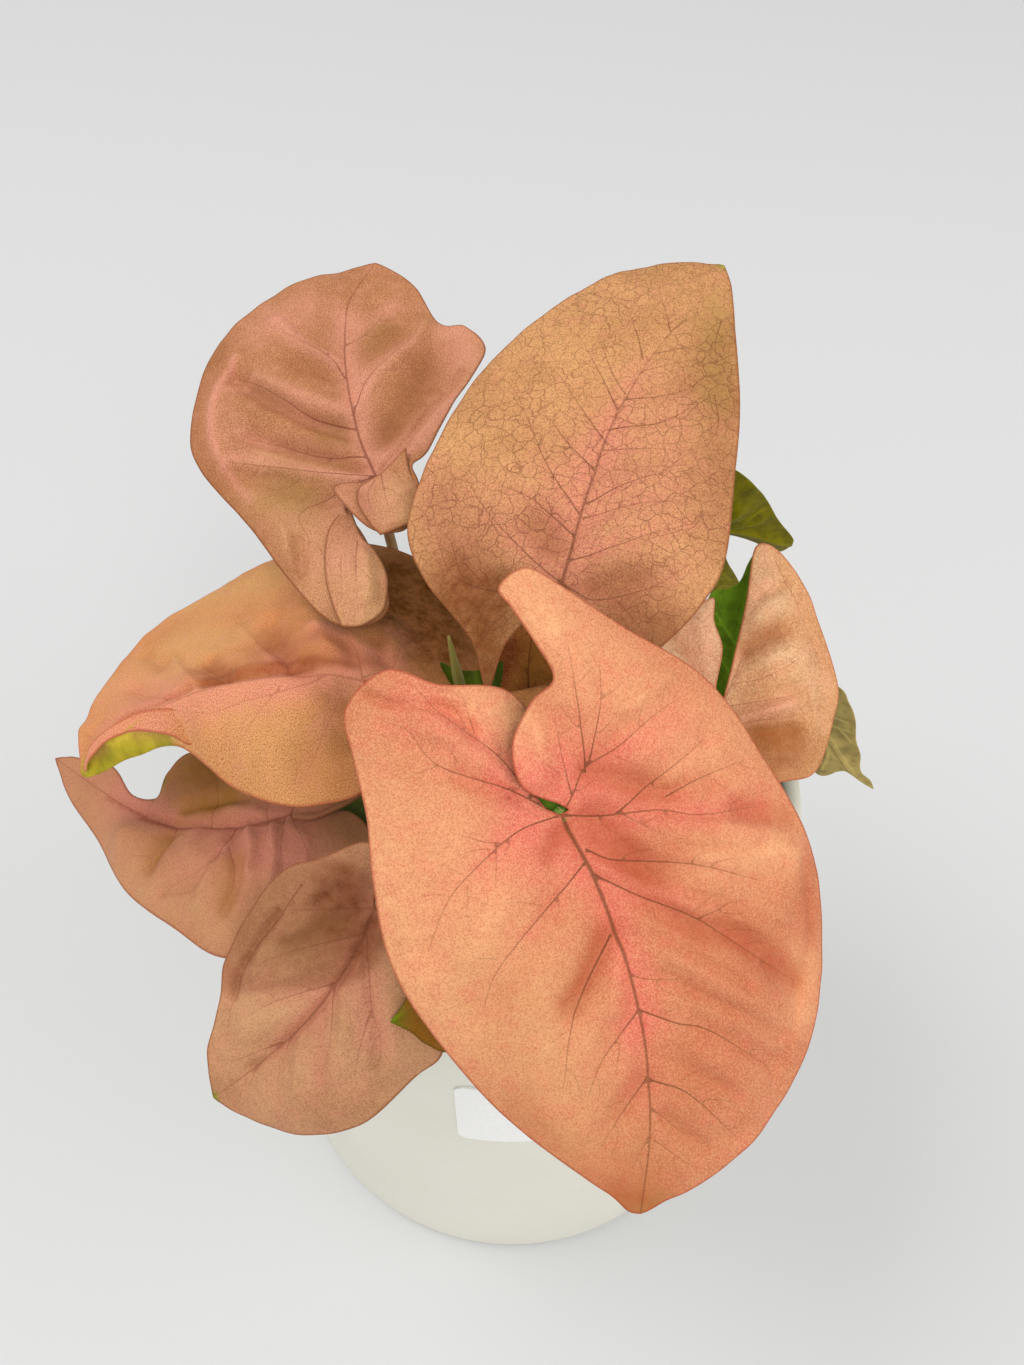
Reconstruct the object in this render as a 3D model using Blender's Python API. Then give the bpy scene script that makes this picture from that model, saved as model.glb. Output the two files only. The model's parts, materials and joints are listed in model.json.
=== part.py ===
"""An arrowhead plant in a plain round pot, modelled in metres, +Z up.

The origin is the centre of the pot's base. The pot holds potting mix, four
short stems stand in holes in the mix, and each leaf is a petiole with a blade
on top. Lengths below are in millimetres and become metres on the way in.

Each blade is drawn in a frame of its own: x runs from the petiole towards the
tip, y to the leaf's left and z out of its upper face. Its outline and its
relief come from a few points (x, y, z) that a smooth surface passes through.
"""

import math

import bpy
import numpy as np
from mathutils import Euler, Matrix, Vector
from mathutils.geometry import delaunay_2d_cdt

MM = 0.001
CLEARANCE = 0.3

# Pot
POT_RADIUS = 50.0
POT_HEIGHT = 103.0
POT_WALL = 3.0
POT_FLOOR = 4.0
POT_BASE_ROUND = 2.0
POT_SIDES = 56

# Potting mix
SOIL_TOP = 90.0
SOIL_MOUND = 2.5

# Sticker on the front wall
STICKER_WIDTH = 36.0
STICKER_HEIGHT = 22.0
STICKER_TOP = 87.0
STICKER_LEFT_ANGLE = -100.5
STICKER_THICKNESS = 0.4

# Stems: where each stands in the mix
STEM_RADIUS = 3.4
STEM_HOLE_DEPTH = 18.0
STEM_TOP = 98.0
STEMS = {
    "front": (3.0, -8.0),
    "back": (8.0, 12.0),
    "left": (-10.0, 4.0),
    "right": (14.0, 0.0),
}
PETIOLE_ROOT = 1.9
PETIOLE_END = 0.9
PETIOLE_GAP = 0.7
PETIOLE_RISE = 15.0
PETIOLE_REACH = 20.0

# Blades
BLADE_THICKNESS = 0.7
LARGE_SPACING = 6.0
SMALL_SPACING = 4.0


class Leaf:
    """One leaf: where its blade is held, how it is turned, and the points of its blade."""

    def __init__(self, stem, spot, turn, midrib, left, right, inner=(), arrive=80.0, small=False):
        self.stem = stem
        self.spot = spot
        self.heading, self.pitch, self.roll = turn
        self.midrib = midrib
        self.left = left
        self.right = right
        self.inner = inner
        self.arrive = arrive
        self.small = small

    def matrix(self):
        turn = Euler((math.radians(self.roll), math.radians(self.pitch), math.radians(self.heading)))
        return Matrix.Translation(self.spot) @ turn.to_matrix().to_4x4()


LEAVES = {
    "blade_front": Leaf(
        "front", (6.5, -34, 139), (-78, 35, 0),
        midrib=[(0, 0, 0), (10, 3, 0.5), (22, 5, 1), (32, 5.5, 0), (42.5, 4.5, -2), (53, 1, -5)],
        left=[(-0.5, 1, 0.3), (-2, 0.3, 1.2), (-5.5, -4, 2.5), (-10.5, -4.5, 2.2), (-15, -1.5, 2.5),
              (-17.5, 1.5, 3), (-22, 0, 4), (-27.5, -2.5, 4), (-30.5, -3.5, 3), (-32.5, 0.5, 3),
              (-29.5, 5, 2), (-23, 12.5, 1), (-14.5, 23, -1), (-3, 29, -2), (9.5, 33.5, -3),
              (23, 33, -4), (36, 28.5, -4), (45.5, 20, -4), (51.5, 9.5, -5)],
        right=[(-0.5, -1, 0), (-3, -2.8, -0.5), (-7.5, -4.2, -1.5), (-11.5, -3.8, -2.5), (-15.5, -4.2, -2),
               (-18, -6.5, -1), (-19.5, -13, 0), (-22.5, -19.5, -1), (-18.5, -25.5, -3),
               (-11.5, -25.5, -2), (-4, -25, -1), (4, -25.5, -1), (14.5, -25, -2), (24, -21.5, -3),
               (36.5, -14, -4), (48, -5.5, -5)],
        inner=[(10, 13, 3), (22, 18, 3), (35, 15, 1), (-8, 12, 3), (-16, 8, 3),
               (5, -12, 3), (18, -10, 3), (32, -5, 1), (-10, -13, 2.5)]),
    "blade_back": Leaf(
        "right", (7, -2, 150), (63, -18, 0),
        midrib=[(0, 0, 0), (10.5, 2, 0), (26.5, 4, 1), (41, 3.5, 1), (54.5, 1, 0), (63.5, 0.5, -1)],
        left=[(-1, 0.5, 0), (-6.5, 2, 0), (-11.5, 4, -2), (-17.5, 4, -4), (-11.5, 9.5, -3),
              (-6, 19.5, -2), (0, 25.5, -1), (8.5, 27.5, 0), (20.5, 28, 1), (31, 27, 1), (43.5, 23.5, 0),
              (54.5, 18, -1), (61, 11, -2)],
        right=[(-0.5, -1.5, 0), (-3.5, -6, -1), (-5, -12, -2), (-3, -16, -3), (5.5, -19, -3),
               (13, -19.5, -2), (25.5, -16, -1), (38, -12, -1), (51.5, -6, -1), (59, -2.5, -1)],
        inner=[(8, 13.5, 1.5), (24, 15.5, 2.5), (43.5, 12.5, 1.5), (6, -8.5, 1), (21, -7, 1.5),
               (36.5, -4, 1)]),
    "blade_back_left": Leaf(
        "left", (-22, 28, 145), (93, -20, 0),
        midrib=[(0, 0, 0), (8.5, 3, 0), (20.5, 5, 0.5), (30.5, 5, 1), (35.5, 4, 1), (44.5, 0, -1)],
        left=[(-2.5, 2.5, 0), (-5.5, 5, 0), (-11, 2, 0), (-18, -1, 0), (-23.5, -1.5, -0.5), (-26, 2, -1),
              (-24.5, 8, -1), (-16.5, 14.5, -2), (-7.5, 20.5, -2), (3.5, 29, -2), (11.5, 31, -2),
              (24, 28.5, -1), (33.5, 22.5, -1), (40.5, 13.5, -1), (42.5, 6, -1)],
        right=[(-1.5, 2, 1), (-2.5, 5, 2.5), (-4, 6.5, 3), (-8.5, 3.5, 3.5), (-12, 0, 4),
               (-12.5, -4.5, 4.5), (-9, -7, 5), (-4.5, -7, 5), (-0.5, -6, 4), (2.5, -8.5, 3.5),
               (11.5, -13, 3.5), (21.5, -18.5, 3), (27.5, -15.5, 2), (30, -11, 0), (38.5, -7, -1),
               (42, -3.5, -1)],
        inner=[(10, 15, 2), (25, 16, 2), (-10, 8, 0), (-17, 5, 0.5), (12, -4, 2), (22, -6, 2),
               (16, -11, 0.5), (32, -3, 1), (-7, -2, 4)]),
    "blade_left": Leaf(
        "left", (-22, -8, 136), (177, 17, 0),
        midrib=[(0, 0, 0), (6.5, -0.5, 3), (15, -0.5, 4), (24, 0, 4), (34, 0.5, 2), (43.5, 2.5, -1),
                (52, -2.5, -3)],
        left=[(-1.5, 3.5, -1), (-3, 8.5, -4), (1, 14, -8), (7, 15, -9), (15, 14, -9), (23.5, 10, -8),
              (32, 3.9, -4), (41, 3.5, -5), (50.5, 4.5, -7), (51.5, 1.5, -5)],
        right=[(-1, -0.5, -0.5), (-2.5, -1, -2.5), (-4, -2, -6), (-6.5, -4, -10), (-10, -7, -13),
               (-10.5, -16.5, -14), (-9.5, -25, -12), (-4, -30.5, -6), (5, -34, -2.5), (15, -37.5, -4),
               (26, -37.5, -5), (38, -34.5, -7), (48, -27.5, -7), (52, -13, -5), (52, -6, -4)],
        inner=[(15, 7, -1), (26, 5, 0), (6, 8, -3), (22, -10, 0), (34, -12, -2), (20, -24, -2.5),
               (8, -9, 0.5), (4, -20, -2.5), (-4, -16, -8)], arrive=105),
    "blade_low_left": Leaf(
        "left", (-35.5, -15, 111.5), (154, 17, 0),
        midrib=[(0, 0, 0), (8.5, 3.5, -1), (20, 6.5, -1), (36.5, 4.5, -2), (61.5, -2, -3)],
        left=[(-2.5, 0.5, 0), (-8.5, -3.5, -1), (-15, -1, -1), (-16, 1.5, -2), (-14.5, 11, -3),
              (-12, 19.5, -4), (-2, 24, -5), (10.5, 22, -5), (24.5, 18.5, -5), (38.5, 11, -5),
              (51, 5, -4)],
        right=[(-0.5, -1.5, 0), (-4.5, -5, -1), (-7.5, -9, -2), (4, -9, 0), (17, -8.5, 1),
               (26, -6, 2), (28.5, -2, 1), (28, 3, 0), (34.5, 3, -1), (43.5, -1.5, -1), (54, -2.5, -2)],
        inner=[(5, 10, 1), (15.5, 13.5, 0), (29, 11, 0), (0, 17.5, -1), (12, -3, 1)]),
    "blade_low_front": Leaf(
        "front", (-19, -39, 123.5), (-144, 38, -15),
        midrib=[(0, 0, 0), (7, 2, 0), (18, 3, 0), (30, 1.5, -1), (39, -0.5, -2)],
        left=[(-0.5, 1, 0), (-3.5, 3, -1.5), (-1.5, 8, -3.5), (4, 14.5, -5), (9, 19.5, -5),
              (14.5, 19, -4.5), (24.5, 18, -3.5), (32.5, 12.5, -3), (37.5, 4.5, -3)],
        right=[(-1, -1, 0), (-5, -2.5, 0), (-6, -7, 0), (0.5, -10.5, 1), (5.5, -13.5, 1),
               (13, -13.5, 1), (21, -12, 0.5), (27, -8.5, 0), (34, -5.5, -1)],
        inner=[(8, 9, 0.5), (18, 11, 0.5), (28, 8, 0), (8, -6, 1.5), (19, -5, 1.5)]),
    "blade_right": Leaf(
        "right", (32, -6.5, 128), (-80, 31, 0),
        midrib=[(0, 0, 0), (8.5, 1, 0), (16, 1, 0), (23.5, 1, -2)],
        left=[(-1, 0.8, 0), (-7.5, 3.5, 1), (-16, 7, 1), (-24.5, 10.5, 0), (-23.5, 14.5, -1),
              (-17, 18, -2), (-10.5, 19.5, -3), (-1, 21.5, -5), (8, 18, -5), (12, 15, -5),
              (16.5, 11, -4), (21, 5.5, -4)],
        right=[(-1, -0.5, 0), (-3.5, 0, 0), (-9, 2, 0), (-13.5, 1.5, 1), (-17.5, 2.5, 0),
               (-15.5, -1.5, -1), (-11, -8, -3), (-3, -9.5, -4), (6.5, -8, -4), (16.5, -5, -4)],
        inner=[(-12, 12, 1), (-3, 12, 1), (6, 8, 0.5), (-8, -3, 0)]),
    "blade_right_young": Leaf(
        "right", (38, 8, 110), (81, -69, 180), arrive=0, small=True,
        midrib=[(0, 0, 0), (13.5, -0.5, 0), (30, 0, 0)],
        left=[(2, 2, 0), (10, 4.5, 0), (19.5, 4.5, 0), (27.5, 2, 0)],
        right=[(3.5, -3.5, 0), (11, -5.5, 0), (18, -6.5, 0), (21.5, -6, 0), (22.5, -3.5, 0),
               (24, -1.8, 0), (27, -1, 0)]),
    "blade_far_right": Leaf(
        "right", (48, 8, 113), (-25, 39, -80), arrive=65, small=True,
        midrib=[(0, 0, 0), (7.5, -2, 0), (16, -2, 0), (26, 1.5, 0)],
        left=[(2.5, 3, 0), (10, 9.5, 0), (18.5, 10, 0), (18.5, 4, 0), (22, 4, 0)],
        right=[(-1.5, -2, 0), (-3.5, -9, 0), (1, -11, 0), (7, -8, 0), (15.5, -5, 0), (21, -1.5, 0)],
        inner=[(6, 4, -1), (4, -6, -1)]),
    "blade_back_right": Leaf(
        "back", (30, 36.5, 128), (13, 25, -70), arrive=65, small=True,
        midrib=[(0, 0, 0), (11.5, -1.5, 0), (25, -1, 0)],
        left=[(2, 4, 0), (14, 16, 0), (23, 21, 0), (27, 21, 0), (26, 16, 0), (17, 8.5, 0), (10.5, 1.5, 0),
              (14, 0.2, 0), (18, 1, 0), (24.5, 2.2, 0)],
        right=[(-4.5, -4.5, 0), (-8.5, -14.5, 0), (-6, -18, 0), (-1, -17, 0), (6.5, -14, 0),
               (17.5, -6.5, 0), (23.5, -3, 0)],
        inner=[(0, -8, -1), (8, -6, -1)]),
    "blade_centre": Leaf(
        "back", (4, -1, 118), (100, -60, 0), arrive=0, small=True,
        midrib=[(0, 1, 0), (9, 0.5, -0.5), (17, -1, 0)],
        left=[(0.5, 3.5, 0), (4.5, 5.5, 0), (9.5, 6, 0), (14.5, 4, 0)],
        right=[(1.5, -0.5, 0), (5, -3, 0), (11.5, -3, 0), (16.5, -2, 0)]),
    "blade_young": Leaf(
        "front", (-5.5, -7, 124.5), (95, -55, 180), arrive=0, small=True,
        midrib=[(0, 0, 0), (5, 0.5, -0.5), (8.5, 0.3, 0)],
        left=[(2.5, 2.5, 0.5), (6, 4, 0.5), (9.5, 4.5, 0.5), (8.8, 2.5, 0)],
        right=[(2.5, -1.5, 0.5), (5.5, -3, 0.5), (10, -5, 0.5), (8.8, -2.5, 0)]),
    "blade_low_small": Leaf(
        "front", (-3, -43, 124), (-160, 25, 0), small=True,
        midrib=[(0, 0, 0), (9.5, 3.5, 0), (17.5, 4, 0)],
        left=[(-1, 2, 0), (5, 9, 0), (10.5, 12, 0), (13.5, 9.5, 0), (15, 7, 0)],
        right=[(1, -2, 0), (7.5, -1.5, 0), (13, 1.5, 0), (15.5, 3.2, 0)]),
}

# The rolled new leaf: points along it and its radius at each
ROLL_PATH = [(-5, -13, 122), (-6.2, -12.3, 130), (-7.4, -11, 137), (-9, -8, 145.5)]
ROLL_RADII = [1.0, 1.3, 1.2, 0.3]

LEAF_COLOURS = {
    "blade_front": (0.72, 0.26, 0.15),
    "blade_back": (0.50, 0.25, 0.13),
    "blade_back_left": (0.52, 0.23, 0.15),
    "blade_left": (0.62, 0.30, 0.13),
    "blade_low_left": (0.50, 0.22, 0.14),
    "blade_low_front": (0.54, 0.28, 0.18),
    "blade_right": (0.66, 0.36, 0.20),
    "blade_right_young": (0.06, 0.18, 0.01),
    "blade_far_right": (0.28, 0.28, 0.12),
    "blade_back_right": (0.15, 0.17, 0.01),
    "blade_centre": (0.24, 0.08, 0.04),
    "blade_young": (0.10, 0.20, 0.03),
    "blade_low_small": (0.30, 0.18, 0.07),
}


def clear_scene():
    for item in list(bpy.data.objects):
        bpy.data.objects.remove(item)


def material(name, colour, roughness, metallic=0.0):
    made = bpy.data.materials.new(name)
    made.use_nodes = True
    shader = made.node_tree.nodes["Principled BSDF"]
    shader.inputs["Base Color"].default_value = (*colour, 1.0)
    shader.inputs["Roughness"].default_value = roughness
    shader.inputs["Metallic"].default_value = metallic
    return made


def add_object(name, points, faces, finish, smooth=True):
    mesh = bpy.data.meshes.new(name)
    mesh.from_pydata([[c * MM for c in p] for p in points], [], faces)
    mesh.validate()
    if smooth:
        mesh.shade_smooth()
    if finish:
        mesh.materials.append(finish)
    made = bpy.data.objects.new(name, mesh)
    bpy.context.scene.collection.objects.link(made)
    return made


def smooth_line(points, spacing):
    """A smooth curve through the points, with steps of about the spacing between them."""
    pts = [np.array(p, float) for p in points]
    pts = [2 * pts[0] - pts[1], *pts, 2 * pts[-1] - pts[-2]]
    curve = []
    for i in range(1, len(pts) - 2):
        a, b, c, d = pts[i - 1:i + 3]
        steps = max(1, round(np.linalg.norm(c - b) / spacing))
        for t in np.arange(steps) / steps:
            curve.append(0.5 * (2 * b + (c - a) * t + (2 * a - 5 * b + 4 * c - d) * t * t
                                + (3 * b - a - 3 * c + d) * t ** 3))
    curve.append(pts[-2])
    return np.array(curve)


def thin_plate(knots):
    """A function of x and y that gives the height of the smooth surface through the knots."""
    xy, z = knots[:, :2], knots[:, 2]

    def kernel(a, b):
        squared = ((a[:, None] - b[None]) ** 2).sum(-1)
        return 0.5 * squared * np.log(squared + 1e-9)

    size = len(xy)
    system = np.zeros((size + 3, size + 3))
    system[:size, :size] = kernel(xy, xy) + 0.5 * np.eye(size)
    system[:size, size] = 1
    system[:size, size + 1:] = xy
    system[size, :size] = 1
    system[size + 1:, :size] = xy.T
    weights = np.linalg.solve(system, np.concatenate([z, [0, 0, 0]]))
    return lambda at: kernel(at, xy) @ weights[:size] + weights[size] + at @ weights[size + 1:]


def half_blade(midrib, margin, inner, spacing):
    """Points and triangles of one half of a blade, its midrib points first."""
    rib = smooth_line(midrib, spacing)
    edge = smooth_line([midrib[0], *margin, midrib[-1]], spacing)
    outline = np.concatenate([rib, edge[-2:0:-1]])
    xs = np.arange(outline[:, 0].min(), outline[:, 0].max(), spacing)
    ys = np.arange(outline[:, 1].min(), outline[:, 1].max(), spacing * 0.87)
    grid = [(x + 0.5 * spacing * (row % 2), y) for row, y in enumerate(ys) for x in xs]
    far = [p for p in grid if np.hypot(*(outline[:, :2] - p).T).min() > 0.55 * spacing]
    flat = [Vector(p[:2]) for p in outline] + [Vector(p) for p in far]
    ring = list(range(len(outline)))
    verts, _, faces, origins, _, _ = delaunay_2d_cdt(flat, [], [ring], 1, 1e-6)
    place = {sources[0]: i for i, sources in enumerate(origins) if sources}
    points = np.array([[v.x, v.y] for v in verts])
    height = thin_plate(np.array([*midrib, *margin, *inner], float))(points)
    for source in range(len(outline)):
        height[place[source]] = outline[source, 2]
    solid = np.column_stack([points, height])
    order = [place[i] for i in ring]
    order += [i for i in range(len(points)) if i not in set(order)]
    new = {old: i for i, old in enumerate(order)}
    faces = [tuple(new[i] for i in face) for face in faces if all(i in new for i in face)]
    return solid[order], faces, len(rib)


def used_only(points, faces):
    """The points that faces use, and the faces renumbered."""
    used = sorted({i for face in faces for i in face})
    new = {old: i for i, old in enumerate(used)}
    return points[used], [tuple(new[i] for i in face) for face in faces]


def facing_up(points, faces):
    """The faces, each turned so that it looks along +z."""
    turned = []
    for a, b, c in faces:
        (ax, ay), (bx, by), (cx, cy) = points[a][:2], points[b][:2], points[c][:2]
        up = (bx - ax) * (cy - ay) - (by - ay) * (cx - ax) > 0
        turned.append((a, b, c) if up else (a, c, b))
    return turned


def blade_sheet(leaf, spacing):
    """The upper face of a blade, its two halves joined along the midrib."""
    left_inner = [p for p in leaf.inner if p[1] >= rib_at(leaf, p[0])]
    right_inner = [p for p in leaf.inner if p[1] < rib_at(leaf, p[0])]
    left, left_faces, ribs = half_blade(leaf.midrib, leaf.left, left_inner, spacing)
    right, right_faces, _ = half_blade(leaf.midrib, leaf.right, right_inner, spacing)
    shift = {i: i if i < ribs else i - ribs + len(left) for i in range(len(right))}
    points = np.concatenate([left, right[ribs:]])
    faces = left_faces + [tuple(shift[i] for i in face) for face in right_faces]
    points, faces = used_only(points, faces)
    return points, facing_up(points, faces)


def rib_at(leaf, x):
    rib = np.array(leaf.midrib)
    return np.interp(x, rib[:, 0], rib[:, 1])


def point_normals(points, faces):
    normals = np.zeros_like(points)
    for a, b, c in faces:
        normal = np.cross(points[b] - points[a], points[c] - points[a])
        for i in (a, b, c):
            normals[i] += normal
    return normals / np.linalg.norm(normals, axis=1)[:, None]


def boundary(faces):
    """The directed edges that only one face uses."""
    edges = {(face[i], face[(i + 1) % 3]) for face in faces for i in range(3)}
    return [(a, b) for a, b in edges if (b, a) not in edges]


def add_blade(name, leaf, finish):
    spacing = SMALL_SPACING if leaf.small else LARGE_SPACING
    points, faces = blade_sheet(leaf, spacing)
    under = points - BLADE_THICKNESS * point_normals(points, faces)
    count = len(points)
    solid = list(faces) + [(c + count, b + count, a + count) for a, b, c in faces]
    for a, b in sorted(boundary(faces)):
        solid += [(b, a, a + count), (b, a + count, b + count)]
    turn = np.array(leaf.matrix())
    world = np.concatenate([points, under]) @ turn[:3, :3].T + turn[:3, 3]
    return add_object(name, world, solid, finish)


def lathe(name, profile, finish, sides=POT_SIDES):
    """A solid turned round Z. The profile (radius, z) starts and ends on the axis."""
    points = [(0, 0, profile[0][1])]
    for radius, z in profile[1:-1]:
        for step in range(sides):
            angle = 2 * math.pi * step / sides
            points.append((radius * math.cos(angle), radius * math.sin(angle), z))
    points.append((0, 0, profile[-1][1]))
    rings = len(profile) - 2
    faces = []
    for step in range(sides):
        nxt = (step + 1) % sides
        faces.append((0, 1 + nxt, 1 + step))
        for ring in range(rings - 1):
            low, high = 1 + ring * sides, 1 + (ring + 1) * sides
            faces.append((low + step, low + nxt, high + nxt, high + step))
        last = 1 + (rings - 1) * sides
        faces.append((last + step, last + nxt, len(points) - 1))
    return add_object(name, points, faces, finish)


def arc(centre, radius, start, end, steps):
    """Points (radius, z) on a quarter round of a profile, angles in degrees."""
    turns = [math.radians(start + (end - start) * i / steps) for i in range(steps + 1)]
    return [(centre[0] + radius * math.cos(t), centre[1] + radius * math.sin(t)) for t in turns]


def add_pot():
    rim = POT_WALL / 2
    inside = POT_RADIUS - POT_WALL
    profile = [(0, 0)]
    profile += arc((POT_RADIUS - POT_BASE_ROUND, POT_BASE_ROUND), POT_BASE_ROUND, -90, 0, 3)
    profile += arc((POT_RADIUS - rim, POT_HEIGHT - rim), rim, 0, 180, 6)
    profile += arc((inside - POT_BASE_ROUND, POT_FLOOR + POT_BASE_ROUND), POT_BASE_ROUND, 0, -90, 2)
    profile += [(0, POT_FLOOR)]
    return lathe("pot", profile, material("pot_white", (0.70, 0.69, 0.62), 0.45))


def add_soil():
    """The mix fills the pot to below the rim, a little higher in the middle, with a hole for each stem."""
    edge = POT_RADIUS - POT_WALL - CLEARANCE
    floor = POT_FLOOR + CLEARANCE
    profile = [(0, floor), (edge - POT_BASE_ROUND - 0.5, floor), (edge, floor + POT_BASE_ROUND + 0.5),
               (edge, SOIL_TOP - 1), (edge * 0.8, SOIL_TOP), (edge * 0.45, SOIL_TOP + SOIL_MOUND),
               (0, SOIL_TOP + SOIL_MOUND)]
    soil = lathe("potting_mix", profile, material("potting_mix", (0.05, 0.03, 0.02), 0.95), 32)
    for name, (x, y) in STEMS.items():
        hole = tube_mesh(f"hole_{name}", [(x, y, hole_floor()), (x, y, SOIL_TOP + 10)],
                         [STEM_RADIUS + CLEARANCE] * 2, None, 12)
        cut = soil.modifiers.new(f"hole_{name}", "BOOLEAN")
        cut.operation = "DIFFERENCE"
        cut.solver = "EXACT"
        cut.object = hole
        hole.hide_render = True
        hole.display_type = "WIRE"
    return soil


def hole_floor():
    return SOIL_TOP - STEM_HOLE_DEPTH


def tube_mesh(name, path, radii, finish, sides=8):
    """A closed tube along a path, its radius changing from point to point."""
    path = [Vector(p) for p in path]
    points, faces = [], []
    side = Vector((1, 0, 0))
    for i, here in enumerate(path):
        way = (path[min(i + 1, len(path) - 1)] - path[max(i - 1, 0)]).normalized()
        side = (side - way * side.dot(way)).normalized()
        other = way.cross(side)
        for step in range(sides):
            angle = 2 * math.pi * step / sides
            points.append(here + (side * math.cos(angle) + other * math.sin(angle)) * float(radii[i]))
    for ring in range(len(path) - 1):
        for step in range(sides):
            nxt = (step + 1) % sides
            low, high = ring * sides, (ring + 1) * sides
            faces.append((low + step, low + nxt, high + nxt, high + step))
    faces.append(tuple(range(sides - 1, -1, -1)))
    faces.append(tuple(range(len(points) - sides, len(points))))
    return add_object(name, points, faces, finish)


def petiole_path(leaf, steps=9):
    """From inside the stem up and out to just under the blade, on one smooth bend."""
    turn = leaf.matrix().to_3x3()
    along, out = turn.col[0], turn.col[2]
    lean = math.radians(leaf.arrive)
    arrival = along * math.cos(lean) + out * math.sin(lean)
    gap = PETIOLE_GAP + (BLADE_THICKNESS if leaf.arrive > 45 else 0)
    end = Vector(leaf.spot) - arrival * gap
    x, y = STEMS[leaf.stem]
    start = Vector((x, y, STEM_TOP - 6))
    reach = min(PETIOLE_REACH, 0.4 * (end - start).length)
    bend = (start, start + Vector((0, 0, PETIOLE_RISE)), end - arrival * reach, end)
    path = []
    for i in range(steps + 1):
        t = i / steps
        weights = ((1 - t) ** 3, 3 * t * (1 - t) ** 2, 3 * t * t * (1 - t), t ** 3)
        path.append(sum((w * p for w, p in zip(weights, bend)), Vector()))
    return path


def add_stem(name, finish):
    """One stem with the petioles that grow from it, joined in one body."""
    x, y = STEMS[name]
    foot = hole_floor() + CLEARANCE
    path = [(x, y, foot), (x, y, SOIL_TOP), (x, y, STEM_TOP - 3), (x, y, STEM_TOP)]
    stem = tube_mesh(f"stem_{name}", path, [STEM_RADIUS, STEM_RADIUS, 3.0, 1.6], finish, 10)
    parts = bpy.data.collections.new(f"petioles_{name}")
    for leaf_name, leaf in LEAVES.items():
        if leaf.stem == name:
            route = petiole_path(leaf)
            last = len(route) - 1
            radii = [PETIOLE_ROOT + (PETIOLE_END - PETIOLE_ROOT) * i / last for i in range(last + 1)]
            parts.objects.link(tube_mesh(f"petiole_{leaf_name}", route, radii, finish))
    if name == "front":
        foot, rise = Vector(ROLL_PATH[0]), Vector(ROLL_PATH[1]) - Vector(ROLL_PATH[0])
        rise.normalize()
        bend = [(x, y, STEM_TOP - 6), (x - 2, y - 1, 106), foot - 5 * rise, foot - PETIOLE_GAP * rise]
        route = smooth_line(bend, 4)
        parts.objects.link(tube_mesh("petiole_roll", route, [PETIOLE_END] * len(route), finish))
    join = stem.modifiers.new("petioles", "BOOLEAN")
    join.operation = "UNION"
    join.solver = "EXACT"
    join.operand_type = "COLLECTION"
    join.collection = parts
    apply_modifiers(stem)
    for item in list(parts.objects):
        bpy.data.objects.remove(item)
    bpy.data.collections.remove(parts)
    return stem


def apply_modifiers(item):
    graph = bpy.context.evaluated_depsgraph_get()
    item.data = bpy.data.meshes.new_from_object(item.evaluated_get(graph))
    item.modifiers.clear()


def add_rolled_leaf():
    route = smooth_line(ROLL_PATH, 3)
    radii = np.interp(np.linspace(0, 1, len(route)), np.linspace(0, 1, len(ROLL_RADII)), ROLL_RADII)
    return tube_mesh("new_leaf_roll", route, list(radii), material("new_leaf", (0.32, 0.30, 0.14), 0.5))


def add_sticker():
    """A thin sheet that follows the front wall."""
    inner = POT_RADIUS + CLEARANCE
    steps = 8
    turn = math.degrees(STICKER_WIDTH / POT_RADIUS)
    points, faces = [], []
    for step in range(steps + 1):
        angle = math.radians(STICKER_LEFT_ANGLE + turn * step / steps)
        for radius in (inner, inner + STICKER_THICKNESS):
            for z in (STICKER_TOP - STICKER_HEIGHT, STICKER_TOP):
                points.append((radius * math.cos(angle), radius * math.sin(angle), z))
    for step in range(steps):
        a, b = 4 * step, 4 * step + 4
        faces += [(a, a + 1, b + 1, b), (a + 2, b + 2, b + 3, a + 3),
                  (a, b, b + 2, a + 2), (a + 1, a + 3, b + 3, b + 1)]
    end = 4 * steps
    faces += [(0, 2, 3, 1), (end, end + 1, end + 3, end + 2)]
    return add_object("sticker", points, faces, material("sticker", (0.85, 0.85, 0.85), 0.5), False)


def main():
    clear_scene()
    add_pot()
    add_soil()
    add_sticker()
    green = material("petiole_green", (0.25, 0.27, 0.10), 0.5)
    for name in STEMS:
        add_stem(name, green)
    for name, leaf in LEAVES.items():
        add_blade(name, leaf, material(name, LEAF_COLOURS[name], 0.5))
    add_rolled_leaf()


main()
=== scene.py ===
"""The looks of an arrowhead plant in its pot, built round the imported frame.

Lengths are in millimetres and become metres when a mesh is made. Each blade is drawn in a frame of its
own: x runs from the petiole towards the tip, y to the leaf's left and z out of its upper face.
"""

import json
import math
import random
from itertools import combinations

import bpy
import numpy as np
from mathutils import Euler, Matrix, Vector
from mathutils.geometry import delaunay_2d_cdt

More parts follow.
